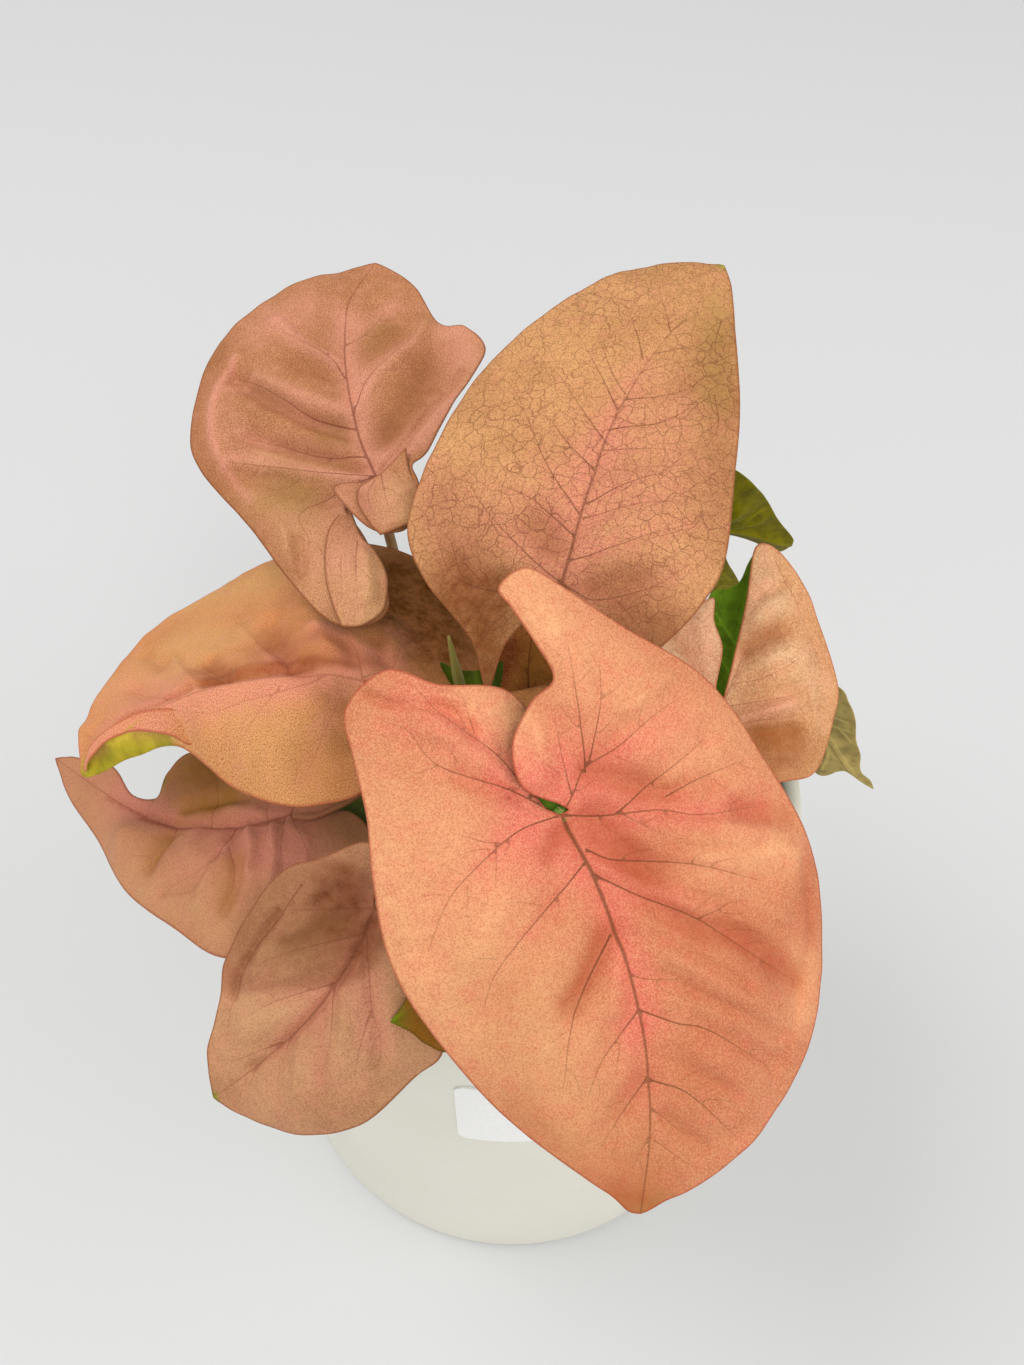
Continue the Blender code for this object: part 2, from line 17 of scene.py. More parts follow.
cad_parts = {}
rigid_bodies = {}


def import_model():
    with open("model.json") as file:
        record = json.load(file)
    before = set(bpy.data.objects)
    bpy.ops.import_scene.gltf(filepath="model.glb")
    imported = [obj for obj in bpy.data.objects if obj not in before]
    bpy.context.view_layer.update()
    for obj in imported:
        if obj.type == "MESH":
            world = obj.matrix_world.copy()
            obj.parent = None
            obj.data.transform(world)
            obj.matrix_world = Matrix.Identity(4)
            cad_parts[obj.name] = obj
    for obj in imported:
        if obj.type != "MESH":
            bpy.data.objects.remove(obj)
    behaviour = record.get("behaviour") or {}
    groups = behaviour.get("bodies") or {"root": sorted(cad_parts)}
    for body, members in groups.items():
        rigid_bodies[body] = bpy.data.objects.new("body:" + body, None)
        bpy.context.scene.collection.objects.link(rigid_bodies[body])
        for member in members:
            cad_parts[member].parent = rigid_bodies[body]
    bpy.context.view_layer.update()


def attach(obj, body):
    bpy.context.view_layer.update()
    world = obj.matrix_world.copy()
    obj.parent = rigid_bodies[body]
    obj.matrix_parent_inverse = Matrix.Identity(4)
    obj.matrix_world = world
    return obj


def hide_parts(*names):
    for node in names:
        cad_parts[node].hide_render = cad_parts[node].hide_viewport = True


MM = 0.001

# Seeds of the random draws: the first one, what a right half and a flap add, and the factor for twigs.
# NOISE_GAP sets the blades apart in the noise of their materials.
SEED = 7
RIGHT_SEED = 20
FLAP_SEED = 50
TWIG_SEED = 100
NOISE_GAP = 37.0

# Fineness of the blades: their grid and its rows, the points of a vein and the knots of the surface
BLADE_STEP = 0.4
ROW_STEP = 0.87 * BLADE_STEP
LINE_STEP = 0.75 * BLADE_STEP
KNOT_STEP = 2.5
KNOT_SLACK = 0.02
CHUNK = 2000
MERGE_GAP = 1e-6

# How near the points of the grid and those along the veins may come, in steps of the grid: to the
# outline, and to a point along a vein
GRID_CLEAR = 0.55
VEIN_CLEAR = 0.45
GRID_GAP = 0.7
VEIN_GAP = 0.3

# Blade sheet
BLADE_THICKNESS = 0.42
MARGIN_THICKNESS = 0.2
MARGIN_REACH = 2.5
MARGIN_BULGE = 0.1
RIM_REACH = 3.0
FAR = 99.0

# Midrib, drawn veins and the twigs that grow from them
RIB_HALF_WIDTH = (0.2, 0.06)
RIB_RIDGE = 0.55
RIB_REACH = 0.75
RIB_FADE = ([0, 45], [1, 0.25])
VEIN_HALF_WIDTH = (0.095, 0.05)
VEIN_LEAST = 0.3
VEIN_GROWTH = 22.0
VEIN_INK = (1.0, 0.3)
VEIN_RIDGE = 0.45
VEIN_FAR = 12.0
MAIN_VEIN = 0.6
TWIG_GAP = (2.4, 5.5)
TWIG_START = 0.55
TWIG_END = 0.92
TWIG_ANGLE = (38, 72)
TWIG_BEND = (-0.04, 0.1)
TWIG_LENGTH = (3.0, 11.0)
TWIG_LEAST = 1.2
TWIG_CLEAR = 0.7
TWIG_HALF_WIDTH = 0.07
TWIG_DEPTH = 0.25
TWIG_INK = (0.7, 0.25)
TWIG_DARKEST = 0.5
GROOVE_WIDTH = 0.5
GROOVE_DEPTH = 0.2

# Pillows between the veins, folds, waves and how they tint the blade: a pink blush near the foot,
# painted shade in the valleys of the folds and a painted highlight on their ridges
PILLOW_REACH = 2.8
FLAP_PILLOW = 0.3
FOLD_GAIN = 1.35
FOLD_FADE = 1.6
WAVE_LENGTH = 9
RIPPLE = 0.12
RIPPLE_LENGTH = 5
BLUSH = 0.3
BLUSH_WIDTH = 1.5
BLUSH_REACH = 26.0
CREASE_PAINTED_SHADE = 0.28
CREASE_PAINTED_HIGHLIGHT = 0.3

# Pot and mix, as in the frame
POT_RADIUS = 50.0
POT_HEIGHT = 103.0
POT_WALL = 3.0
POT_FLOOR = 4.0
POT_BASE_ROUND = 2.0
POT_INSIDE = POT_RADIUS - POT_WALL
POT_SIDES = 160
POT_FLOOR_RINGS = range(12, 48, 12)
POT_WALL_RINGS = range(8, 100, 6)
CLEARANCE = 0.3
SOIL_TOP = 90.0
SOIL_BEVEL = 4.0
SOIL_MIDDLE = 60.0
SOIL_DIP = 0.8
SOIL_MOUND = 2.5
SOIL_LUMPS = [(0.9, 9), (0.6, 4)]
SOIL_SIDES = 120
SOIL_RINGS = 44
CRUMB_MARGIN = 2.5
CRUMB_STEM_GAP = 1.5
CRUMB_SINK = 0.25
CRUMB_LENGTH = (0.7, 1.4)
CRUMB_WIDTH = (0.6, 1.0)
CRUMB_ROUGHNESS = (0.75, 1.15)

# Sticker on the front wall
STICKER_WIDTH = 36.0
STICKER_HEIGHT = 22.0
STICKER_TOP = 87.0
STICKER_LEFT_ANGLE = -100.5
STICKER_INSIDE = POT_RADIUS + 0.02
STICKER_OUTSIDE = POT_RADIUS + 0.4
STICKER_CORNER = 2.0
STICKER_STEP = 1.0
STICKER_MARGIN = 0.7
STICKER_GAP = 0.4

# Stems and petioles: where each stem stands, and the stem's radius at each height
STEM_RADIUS = 3.4
STEM_TOP = 98.0
STEM_PROFILE = [(73, 3.3), (86, 3.4), (90, 3.4), (91, 3.2), (93, 3.35), (95, 3.2), (96.5, 2.9), (97.5, 2.3),
                (STEM_TOP, 1.2)]
STEMS = {
    "front": (3.0, -8.0),
    "back": (8.0, 12.0),
    "left": (-10.0, 4.0),
    "right": (14.0, 0.0),
}
PETIOLE_FOOT = STEM_TOP - 6
PETIOLE_RISE = 15.0
PETIOLE_REACH = 20.0
PETIOLE_SHARE = 0.4
PETIOLE_END = 0.35
PETIOLE_RADII = [2.0, 1.75, 1.35, 1.1, 1.0, 0.95, 0.95]
PETIOLE_RINGS = 44
PETIOLE_GROOVE = 0.16
PETIOLE_GROOVE_WIDTH = 0.5
STREAK_SPREAD = 0.9
FLARE_RINGS = 6

# The rolled new leaf: points along it, its radius at each, and the bend and the radii of its stalk
ROLL_PATH = [(-5, -13, 122), (-6.2, -12.3, 130), (-7.4, -11, 137), (-9, -8, 145.5)]
ROLL_RADII = [0.9, 1.05, 1.05, 0.95, 0.25]
ROLL_STALK_BEND = (1, -9, 106)
ROLL_STALK_RADII = [1.3, 1.0, 0.9]
ROLL_TURNS = 1.35
ROLL_START = 0.5
ROLL_SIDES = 40
ROLL_THICKNESS = 0.14
ROLL_CORE = 0.72

# Roughness of a blade, and colours in daylight, red, green and blue out of 255
LEAF_ROUGHNESS = (0.47, 0.62)
POT_COLOURS = (226, 224, 212), (222, 219, 207)
PEAT_COLOURS = (26, 18, 13), (74, 54, 38)
BARK_COLOURS = (38, 24, 16), (96, 66, 42)
PERLITE_COLOURS = (206, 202, 192), (236, 234, 228)
PETIOLE_COLOURS = (96, 140, 34), (184, 124, 92), (222, 172, 144), (120, 96, 44)
NEW_LEAF_COLOURS = (84, 80, 22), (132, 118, 52), (106, 82, 34)
STICKER_COLOURS = (243, 243, 242), (238, 238, 237)
FLOOR_COLOUR = (213, 215, 217)

# Light: the world, and for each lamp its place and size in metres, its power and its colour
WORLD_COLOUR = (1.0, 0.985, 0.965, 1.0)
WORLD_STRENGTH = 0.66
LAMP_AIM = (0, 0, 0.1)
LAMPS = {
    "window": ((-1.1, 0.2, 1.9), 1.2, 15.0, (1.0, 0.97, 0.94)),
    "front": ((0.3, -1.35, 1.4), 1.0, 11.5, (1.0, 0.98, 0.95)),
    "right": ((1.3, -0.3, 0.9), 1.0, 4.5, (1.0, 0.99, 0.97)),
}
FLOOR_REACH = 4.0

# Camera of the photograph
CAMERA_PLACE = (0.0, -0.1185, 0.2626)
CAMERA_TILT = 41.0
CAMERA_LENS = 30.0
CAMERA_SENSOR = 36.0


class Sheet:
    """A part of a blade.

    midrib, left and right are its outline as (x, y, z), and inner are more points of its surface.
    A flap has no right side. Veins are lines of (x, y). A fold is a line, its width and its height, and
    a patch of a tint is a line, its reach, its strength and, at times, how sharply it ends. The deep
    patches are mostly painted shade, some olive and light patches are painted shade and painted light
    too, and a sharp end draws the edge of a painted cast shadow.
    """

    def __init__(self, midrib, left, right=(), inner=(), veins=(), folds=(), pink=(), light=(),
                 deep=(), olive=(), green=(), pillow=0.8, wave=0.35, ink=0.7, rib_end=0.6,
                 rib_width=1.0, relief=1.0):
        self.midrib = midrib
        self.left = left
        self.right = right
        self.inner = inner
        self.veins = veins
        self.folds = folds
        self.tints = (pink, light, green, deep, olive)
        self.pillow = pillow
        self.wave = wave
        self.ink = ink
        self.rib_end = rib_end
        self.rib_width = rib_width
        self.relief = relief


class Leaf(Sheet):
    """One leaf: its stem, the spot where the petiole holds its blade, how that is turned, and its flaps."""

    def __init__(self, stem, spot, turn, arrive=80.0, flare=1.05, browning=1.0, flaps=(), **sheet):
        super().__init__(**sheet)
        self.stem = stem
        self.spot = spot
        self.heading, self.pitch, self.roll = turn
        self.arrive = arrive
        self.flare = flare
        self.browning = browning
        self.flaps = flaps

    def matrix(self):
        """From the blade's own frame to the pot's."""
        turn = Euler((math.radians(self.roll), math.radians(self.pitch), math.radians(self.heading)))
        return Matrix.Translation(self.spot) @ turn.to_matrix().to_4x4()


LEAVES = {
    "blade_front": Leaf(
        "front", (6.5, -34, 139), (-78, 35, 0), flare=1.0, browning=0.3, ink=0.8, rib_width=1.3,
        relief=1.15,
        midrib=[(0, 0, 0), (10, 3, 0.5), (22, 5, 1), (32, 5.5, 0), (42.5, 4.5, -2), (53.1, 2, -5)],
        left=[(-0.5, 1, 0.3), (-1.5, -0.2, 0.9), (-4.4, -4.8, 1.9), (-10, -5.1, 2), (-15, -1.8, 2.4),
            (-17.5, 1.5, 3), (-22, 0, 4), (-27.5, -2.5, 4), (-30.5, -3.5, 3), (-32.5, 0.5, 3),
            (-29.5, 5, 2), (-23, 12.5, 1), (-14.5, 23, -1), (-3, 29, -2), (9.5, 33.5, -3), (23, 33, -4),
            (36, 28.5, -4), (45.5, 20, -4), (49.5, 13.5, -4.5), (51.4, 9, -5), (52, 5.8, -5),
            (52.7, 3.6, -5)],
        right=[(-0.5, -1, 0), (-2.4, -2.5, -0.4), (-7, -3.2, -1.3), (-11.5, -1.6, -2.5), (-15, -2, -2.2),
            (-18, -5.5, -1), (-19.5, -13, 0), (-22.5, -19.5, -1), (-18.5, -25.5, -3), (-11.5, -25.5, -2),
            (-4, -25, -1), (4, -25.5, -1), (14.5, -25, -2), (24, -21.5, -3), (36.5, -14, -4),
            (46.5, -5, -4.6), (50, -1.4, -4.8), (52.3, 0.4, -5)],
        inner=[(10, 13, 3), (22, 18, 3), (35, 15, 1), (-8, 12, 3), (-16, 8, 3), (5, -12, 3), (18, -10, 3),
            (32, -5, 1), (-10, -13, 2.5)],
        veins=[[(0, 0), (1, -6), (4, -11.5), (8, -16.5), (14, -20)], [(2, -9), (1.5, -11), (-0.5, -15)],
            [(3, -9.5), (7.5, -10.5)], [(5, -14.5), (3.5, -16.5)],
            [(6.5, 2), (10, -2.5), (14.5, -8.5), (18.5, -12.5), (23, -14.5)], [(10.5, -2.5), (13, -3)],
            [(16.5, 3.5), (22, -1), (27, -4), (34.5, -6)], [(26.5, 5), (31.5, -0.5), (36, -3)],
            [(35.5, 5), (40.5, 0), (43, -2)], [(42.5, 4.5), (44.5, 3), (46.5, 1.5)],
            [(0, 0), (1, 5), (1.5, 12.5), (3, 17.5), (3.5, 26.5)], [(1, 7), (-2, 12), (-6.5, 20.5)],
            [(0, 14), (-1.5, 18.5), (-3, 26)], [(1.5, 8), (3.5, 10.5), (5, 12.5)],
            [(5, 2.5), (7, 6), (9, 15), (13, 24.5)],
            [(8.5, 3), (12, 8), (16, 14.5), (22.5, 22), (27.5, 28)], [(16, 14.5), (15, 19), (15, 22)],
            [(21.5, 5), (22.5, 7), (23.5, 12.5)], [(26, 5), (28.5, 9.5), (30.5, 14), (37.5, 22)],
            [(35.5, 5.5), (38, 10), (45.5, 16)], [(39, 5), (44, 9.5)], [(43.5, 5), (48, 9.5)],
            [(0, 0), (-2, 1.5), (-5.5, 4), (-7.5, 8.5), (-10.5, 13.5), (-12.5, 18)],
            [(-5, 4), (-14.5, 4), (-21.5, 4)], [(-6, 4.5), (-13.5, 7), (-19, 8)],
            [(-14, 7.5), (-15.5, 10.5)], [(-2.5, 1.5), (-8, 1), (-13, 1)],
            [(0, 0), (-1.5, -1), (-4, -4), (-9, -7), (-15, -13), (-20, -16.5)],
            [(-12.5, -9.5), (-18, -10.5)], [(-1, -1.5), (-4.5, -6.5), (-9, -15), (-14, -18), (-16, -21)],
            [(-9, -15), (-8, -19.5)], [(-9, -12.5), (-12.5, -14)]],
        folds=[([(2, 3.5), (5.5, 7), (10, 9)], 2.6, -1.3),
            ([(7.5, 3.5), (10.5, 8), (13.5, 12.5)], 1.2, 0.5),
            ([(-5, 4), (-3, 8.5), (-0.5, 13.5)], 1.8, -0.9), ([(-0.5, 15), (-0.5, 20.5)], 1.6, -0.6),
            ([(13.5, 9.5), (17.5, 14)], 1.6, -0.7), ([(17.5, 18), (22.5, 23.5), (27, 27)], 2, -0.8),
            ([(3.5, 23.5), (5.5, 30.5)], 1.6, -0.6), ([(7, 15.5), (9, 25.5), (11.5, 30)], 3, 0.8),
            ([(12, 9), (14.5, 15), (18, 26.5)], 1.6, 0.4), ([(2, -0.5), (4.5, -2.5)], 1.4, -0.7),
            ([(16.5, 3), (21.5, -1), (24, -3.5)], 1.8, -0.9), ([(19, 4.5), (25, 2)], 1.8, 0.5),
            ([(35.5, 4), (38.5, 1)], 1.8, -0.6), ([(-22.5, 3), (-14, 5)], 3, 0.7),
            ([(-7.5, 6.5), (-10.5, 10)], 1.4, -0.5),
            ([(-21, -24), (-18, -19.5), (-16.5, -14), (-15, -11.5), (-12.5, -9.5)], 0.8, -0.8),
            ([(-20, -18), (-19, -14.5), (-17, -10.5)], 0.7, 0.5), ([(-14, -17), (-12, -12)], 0.9, 0.5),
            ([(-4, -3.5), (-10.5, -10.5), (-17, -16)], 1.8, 0.7), ([(-3, -5), (-7, -13)], 1.2, -0.5),
            ([(-12, -2), (-7.5, -1.5)], 1.4, 0.6), ([(-4.5, 0), (-3, -1)], 0.9, -0.5),
            ([(9.5, -10.5), (15, -15)], 2.5, 0.5), ([(10.5, -2.5), (16, -7.5), (21.5, -12)], 1.4, -0.4),
            ([(5, 9), (8, 15), (10.5, 20)], 1.1, 0.3), ([(20, 10), (25, 17), (30, 23)], 1.1, 0.35),
            ([(22.5, 9), (28, 16.5)], 1, -0.3), ([(28, 9.5), (34, 17), (38, 21)], 1.1, 0.35),
            ([(32, 9), (38, 15.5)], 1, -0.3), ([(36.5, 8), (43, 14)], 1.1, 0.3),
            ([(30, 12.5), (36.5, 22)], 1.6, -0.5),
            ([(11.5, 31.5), (21, 31), (28, 28), (37, 24)], 0.7, -0.35),
            ([(6, 12), (7.5, 19), (8.5, 25)], 0.8, -0.45), ([(3, 11), (4.5, 19), (6.5, 27)], 0.9, 0.45),
            ([(12.5, 14), (15.5, 20), (19.5, 26)], 0.8, -0.45),
            ([(17, 9), (21.5, 14.5), (26, 20)], 0.9, -0.45),
            ([(24.5, 12), (29.5, 19), (33.5, 24)], 0.8, -0.4), ([(33.5, 8.5), (39.5, 16.5)], 0.9, -0.4),
            ([(40.5, 6.5), (46, 11.5)], 0.9, -0.4), ([(-12, 10.5), (-15.5, 17)], 1, 0.45)],
        pink=[([(0, 0)], 9, 0.9), ([(-5, -3.5), (-2, -1), (-3.5, 1)], 1.6, 0.8),
            ([(2, 1), (9, 3.5), (18.5, 5), (27.5, 5.5)], 3, 0.75), ([(9.5, 6), (14, 14)], 2, 0.5),
            ([(1, 5), (2.5, 18), (3.5, 26.5)], 3, 0.6), ([(-4, 3), (-7, 11.5), (-9.5, 17.5)], 3, 0.5),
            ([(-18, -16), (-12, -10), (-4, -3.5)], 4, 0.6), ([(28.5, 4), (37.5, 4)], 3, 0.45),
            ([(4, -9.5), (2.5, -3.5)], 4, 0.3)],
        # Most light patches are the blade's paler tone; the broad one across the right half is painted
        # light on the half turned to the light
        light=[([(-6, -24), (4, -24.5), (15, -22.5), (24.5, -19)], 5, 0.55),
            ([(-16, -9), (-10.5, -7)], 3.5, 0.9), ([(-30.5, 0), (-25, 1.5)], 5.5, 0.8),
            ([(-14.5, -5), (-12.5, -4)], 2.5, 0.9), ([(10, 22), (9.5, 28.5)], 4.5, 0.55),
            ([(25, 28.5), (31, 27.5)], 3, 0.8), ([(11, 14.5), (10, 17)], 4, 0.4),
            ([(35.5, -6.5), (44.5, -2.5)], 6, 0.35), ([(-10, -2), (-7, -3)], 2.5, 0.6),
            ([(-9, 20.5), (0, 27.5)], 6, 0.3), ([(2, -14), (16, -12), (28, -8)], 9, 0.6),
            ([(-18, 8), (-10, 12), (-3, 17)], 6, 0.5), ([(29, -8), (28, -7)], 0.4, 1.0)],
        # The deep patches are painted shade: in the valleys of the folds, on the tip that turns away from
        # the light, and broadly over the left half
        deep=[([(3.5, 4.5), (9, 8.5)], 3.2, 0.45), ([(-5, 5.5), (-2, 10.5)], 3, 0.4),
            ([(15.5, 12.5), (18, 15)], 2.2, 0.35), ([(18.5, 19), (26, 26.5)], 2.6, 0.5),
            ([(16.5, 2), (23, -3)], 2, 0.45), ([(3.5, 23.5), (6, 30.5)], 2, 0.4),
            ([(13, 32), (21, 31)], 2.2, 0.45), ([(2.5, -1), (4, -3)], 2, 0.4), ([(49, 1), (53, 1)], 5, 0.6),
            ([(51, -1), (52.5, 4)], 2, 0.6), ([(36, -12), (46, -5)], 3, 0.3),
            ([(8, 13), (24, 17), (38, 10)], 9, 0.25)],
        olive=[([(24, -12), (40, -6), (46, 4)], 9, 0.22), ([(52, 0), (52.5, 4)], 2.5, 0.5)],
        flaps=[
            Sheet(
                pillow=0, wave=0,
                midrib=[(-0.7, -1.6, -1.7), (-2.5, -4, -1.9), (-6.5, -6.5, -2.4)],
                left=[(-0.8, 0.6, -1.6), (-2.5, 2.4, -1.4), (-5.5, 1, -1.6), (-7.5, -3, -2)],
                green=[([(-2, 0)], 12, 1.0)])]),
    "blade_back": Leaf(
        "right", (7, -2, 150), (63, -18, 0), pillow=0.3, ink=0.72, rib_end=0.1, rib_width=1.1,
        midrib=[(0, 0, 0), (10.5, 2, 0), (26.5, 4, 1), (41, 3.5, 1), (54.5, 1, 0), (63.5, 0.5, -1)],
        left=[(-1, 0.5, 0), (-6.5, 2, 0), (-11.5, 4, -2), (-17.5, 4, -4), (-11.5, 9.5, -3), (-6, 19.5, -2),
            (0, 25.5, -1), (8.5, 27.5, 0), (20.5, 28, 1), (31, 27, 1), (43.5, 23.5, 0), (54.5, 18, -1),
            (61, 11, -2)],
        right=[(-0.5, -1.5, 0), (-3.5, -6, -1), (-5, -12, -2), (-3, -16, -3), (5.5, -19, -3),
            (13, -19.5, -2), (25.5, -16, -1), (38, -12, -1), (51.5, -6, -1), (59, -2.5, -1)],
        inner=[(8, 13.5, 1.5), (24, 15.5, 2.5), (43.5, 12.5, 1.5), (6, -8.5, 1), (21, -7, 1.5),
            (36.5, -4, 1)],
        veins=[[(0, 0), (-0.5, -5), (2.5, -10), (6.5, -13.5), (10, -15.5)], [(5.5, -13), (5.5, -17)],
            [(0.5, -8.5), (-2.5, -14.5)], [(4, 0.5), (7, -4), (11, -8.5), (16.5, -14.5)],
            [(11, 1.5), (15.5, -5.5), (17, -9)],
            [(13.5, 2), (17.5, -1.5), (21, -6), (20.5, -10.5), (23, -12.5)],
            [(21, -6), (26, -8.5), (28.5, -10.5)], [(22.5, 3.5), (25, -3.5), (26, -7)],
            [(26.5, 3.5), (30.5, -3.5), (37.5, -7)], [(32, 4), (36.5, -3), (42, -6)],
            [(37.5, 4), (43.5, -3)], [(41.5, 3.5), (46, -2), (49, -3)], [(47.5, 2.5), (53.5, -0.5)],
            [(52, -3.5), (47, -4.5), (42, -7.5)], [(38, -8), (33, -10.5), (28, -10.5)],
            [(0, 0), (2.5, 6.5), (6.5, 15), (11, 21)], [(8, 1.5), (10.5, 9), (11, 17)],
            [(11.5, 2.5), (16.5, 9.5), (22.5, 15.5), (28, 21)], [(19, 3), (21.5, 8.5), (26, 16)],
            [(24.5, 4.5), (28, 9.5), (33, 16)], [(29.5, 4), (34.5, 9), (41, 16)],
            [(33, 4.5), (36, 8), (42, 13)], [(40, 4.5), (44.5, 7.5), (51.5, 13)],
            [(47, 3), (51, 5.5), (56, 9)], [(0, 0), (-3, 5), (-4.5, 10.5), (-3.5, 16.5), (1, 21)],
            [(-3.5, 11.5), (0, 18)]],
        folds=[([(7.5, 7), (5.5, 4)], 2.4, -1.1), ([(1.5, -4), (5.5, -10.5)], 1.8, -0.7),
            ([(5, -5.5), (11.5, -13)], 2.2, 0.6), ([(9.5, -1.5), (16.5, -11)], 2, 0.5),
            ([(11.5, 5.5), (13.5, 15.5)], 2.6, 0.5), ([(19, 2.5), (23, -5.5)], 1.6, -0.4),
            ([(-2, 17), (-2.5, 8.5)], 1.4, -0.6), ([(1.5, 18), (-3, 12)], 1.2, 0.5),
            ([(34.5, 1), (38, -4)], 2, -0.4), ([(20, 9), (19, 15.5)], 2.5, -0.4),
            ([(36, -6.5), (11.5, -17)], 1.4, 0.4)],
        pink=[([(0.5, -0.5), (14, 2.5), (22.5, 4)], 4, 0.55), ([(5, 6), (3.5, 2)], 5, 0.45),
            ([(4, -8), (18, -6), (30, -2)], 9, 0.5), ([(4, 14), (14, 8)], 8, 0.35),
            ([(24, 4.5), (38, 4)], 2.5, 0.4), ([(10.5, 27), (3, 21.5)], 3, 0.3)],
        light=[([(16.5, 23.5), (13.5, 16)], 5, 0.3), ([(39, 18), (30.5, 7.5)], 9, 0.25),
            ([(25.5, -1), (28.5, -8)], 5, 0.3)],
        # Painted shade: on the basal lobes that turn away from the light, at the foot, along the right
        # margin and in the valleys of the folds
        deep=[([(7.5, 7), (6, 4)], 3.5, 0.25), ([(2, -3.5), (5.5, -9.5)], 3.5, 0.15),
            ([(-7, 14), (-9, 9), (-15, 5)], 5.5, 1.0), ([(-1, -10), (-1, -16)], 5.5, 0.75),
            ([(-2, 0), (-4, 8)], 4, 0.5), ([(50, -4), (20, -17)], 5, 0.4), ([(3, 21.5), (1, 15)], 6, 0.3)],
        olive=[([(66.5, 14.5), (77.5, 10.5)], 7, 0.5), ([(55.5, -1), (37, -8.5)], 3, 0.35)],
        green=[([(63.5, 0.5)], 1.2, 1.0)]),
    "blade_back_left": Leaf(
        "left", (-22, 28, 145), (93, -20, 0), pillow=0.5, ink=0.7, relief=1.3,
        midrib=[(0, 0, 0), (8.5, 3, 0), (20.5, 5, 0.5), (30.5, 5, 1), (35.5, 4, 1), (44.5, 0, -1)],
        left=[(-2.5, 2.5, 0), (-5.5, 5, 0), (-11, 2, 0), (-18, -1, 0), (-23.5, -1.5, -0.5), (-26, 2, -1),
            (-24.5, 8, -1), (-16.5, 14.5, -2), (-7.5, 20.5, -2), (3.5, 29, -2), (11.5, 31, -2),
            (24, 28.5, -1), (33.5, 22.5, -1), (40.5, 13.5, -1), (42.5, 6, -1)],
        right=[(-1.5, 2, 1), (-2.5, 5, 2.5), (-4, 6.5, 3), (-8.5, 3.5, 3.5), (-12, 0, 4),
            (-12.5, -4.5, 4.5), (-9, -7, 5), (-4.5, -7, 5), (-0.5, -6, 4), (2.5, -8.5, 3.5),
            (11.5, -13, 3.5), (21.5, -18.5, 3), (27.5, -15.5, 2), (30, -11, 0), (38.5, -7, -1),
            (42, -3.5, -1)],
        inner=[(10, 15, 2), (25, 16, 2), (-10, 8, 0), (-17, 5, 0.5), (12, -4, 2), (22, -6, 2),
            (16, -11, 0.5), (32, -3, 1), (-7, -2, 4)],
        veins=[[(19, 5), (22, 7), (24.5, 10.5), (27.5, 15.5)],
            [(9.5, 3.5), (11, 10), (14.5, 15.5), (21, 24.5)], [(4, 1.5), (4.5, 10), (8, 20.5)],
            [(0, 0), (0.5, 9), (2, 17), (4, 24.5)],
            [(0, 0), (-3, 7.5), (-6.5, 12.5), (-10.5, 11), (-15, 11)],
            [(12, 3.5), (18.5, 1), (24.5, -5.5), (28.5, -7.5)], [(25.5, 5), (27.5, 1.5), (32, -2)],
            [(-12, 3), (-22.5, 2.5)], [(-14, 6), (-23, 5.5)]],
        folds=[([(8.5, 5), (10.5, 11.5), (14.5, 18), (20, 24)], 1.5, -0.8),
            ([(12.5, 6), (14.5, 12.5), (18.5, 19.5)], 1.8, 0.5),
            ([(1.5, 2), (3.5, 7.5), (5, 14), (8, 20.5)], 1.5, -0.7),
            ([(0, 0.5), (0.5, 9), (2, 16.5), (4, 24)], 0.9, 0.6),
            ([(-3.5, 7.5), (-1, 15.5), (2, 23)], 2, -0.6),
            ([(8, -1.5), (16.5, -6.5), (23, -11)], 3.2, -0.9),
            ([(12.5, 3), (18, 0), (24.5, -6), (29.5, -8.5)], 1.3, 0.6),
            ([(23.5, 1.5), (26.5, -3)], 2.4, -0.6),
            ([(1, -0.5), (6.5, -6), (15, -12), (18.5, -14.5)], 0.7, -0.5),
            ([(23.5, 23.5), (16, 27), (8.5, 27), (3.5, 25)], 0.8, 0.35),
            ([(22, 6.5), (25, 12), (30.5, 17)], 1.1, 0.5), ([(19.5, 7.5), (21, 13.5)], 1.8, -0.5),
            ([(-8.5, 15), (-14.5, 14)], 1, 0.5), ([(-10.5, 12.5), (-16.5, 12)], 0.9, -0.5)],
        pink=[([(30.5, 5), (20.5, 4), (9, 2.5), (2, 0)], 2.6, 0.85),
            ([(23.5, 23.5), (16, 27), (8.5, 27), (3.5, 25), (-3, 20.5)], 0.8, 0.9),
            ([(22, 7), (25, 12), (30.5, 17)], 1.3, 0.7),
            ([(12.5, 6), (14.5, 12.5), (18.5, 19.5)], 1.4, 0.7),
            ([(2.5, -2.5), (6.5, -8), (13.5, -13)], 2.6, 0.85), ([(26.5, -13.5), (21, -14.5)], 4, 0.8),
            ([(30, 18), (32.5, 13)], 5, 0.5), ([(14.5, 3), (19.5, -0.5), (25, -6)], 1.6, 0.6),
            ([(18, 27), (8.5, 26.5)], 3, 0.35), ([(-13, 6), (-20, 5)], 3, 0.4),
            ([(-7.5, 6), (-2.5, 4.5)], 3, 0.5), ([(18, 23.5), (11.5, 12.5), (9, 5)], 1.3, 0.6),
            ([(4, 7.5), (6, 17), (9, 22)], 1.3, 0.6), ([(0.5, 2), (1, 9), (3, 17), (5, 24)], 1.1, 0.6),
            ([(27, 5), (29, 1), (33, -3)], 1.6, 0.5)],
        light=[([(4.5, 18), (1.5, 7.5)], 2, 0.5), ([(-3, 19.5), (-6, 14)], 4, 0.4),
            ([(26, -14), (19, -16), (12, -13)], 3, 0.4), ([(-12, 12), (-20, 8)], 5, 0.5)],
        # Painted shade in the valleys of the folds and beyond the curled margin
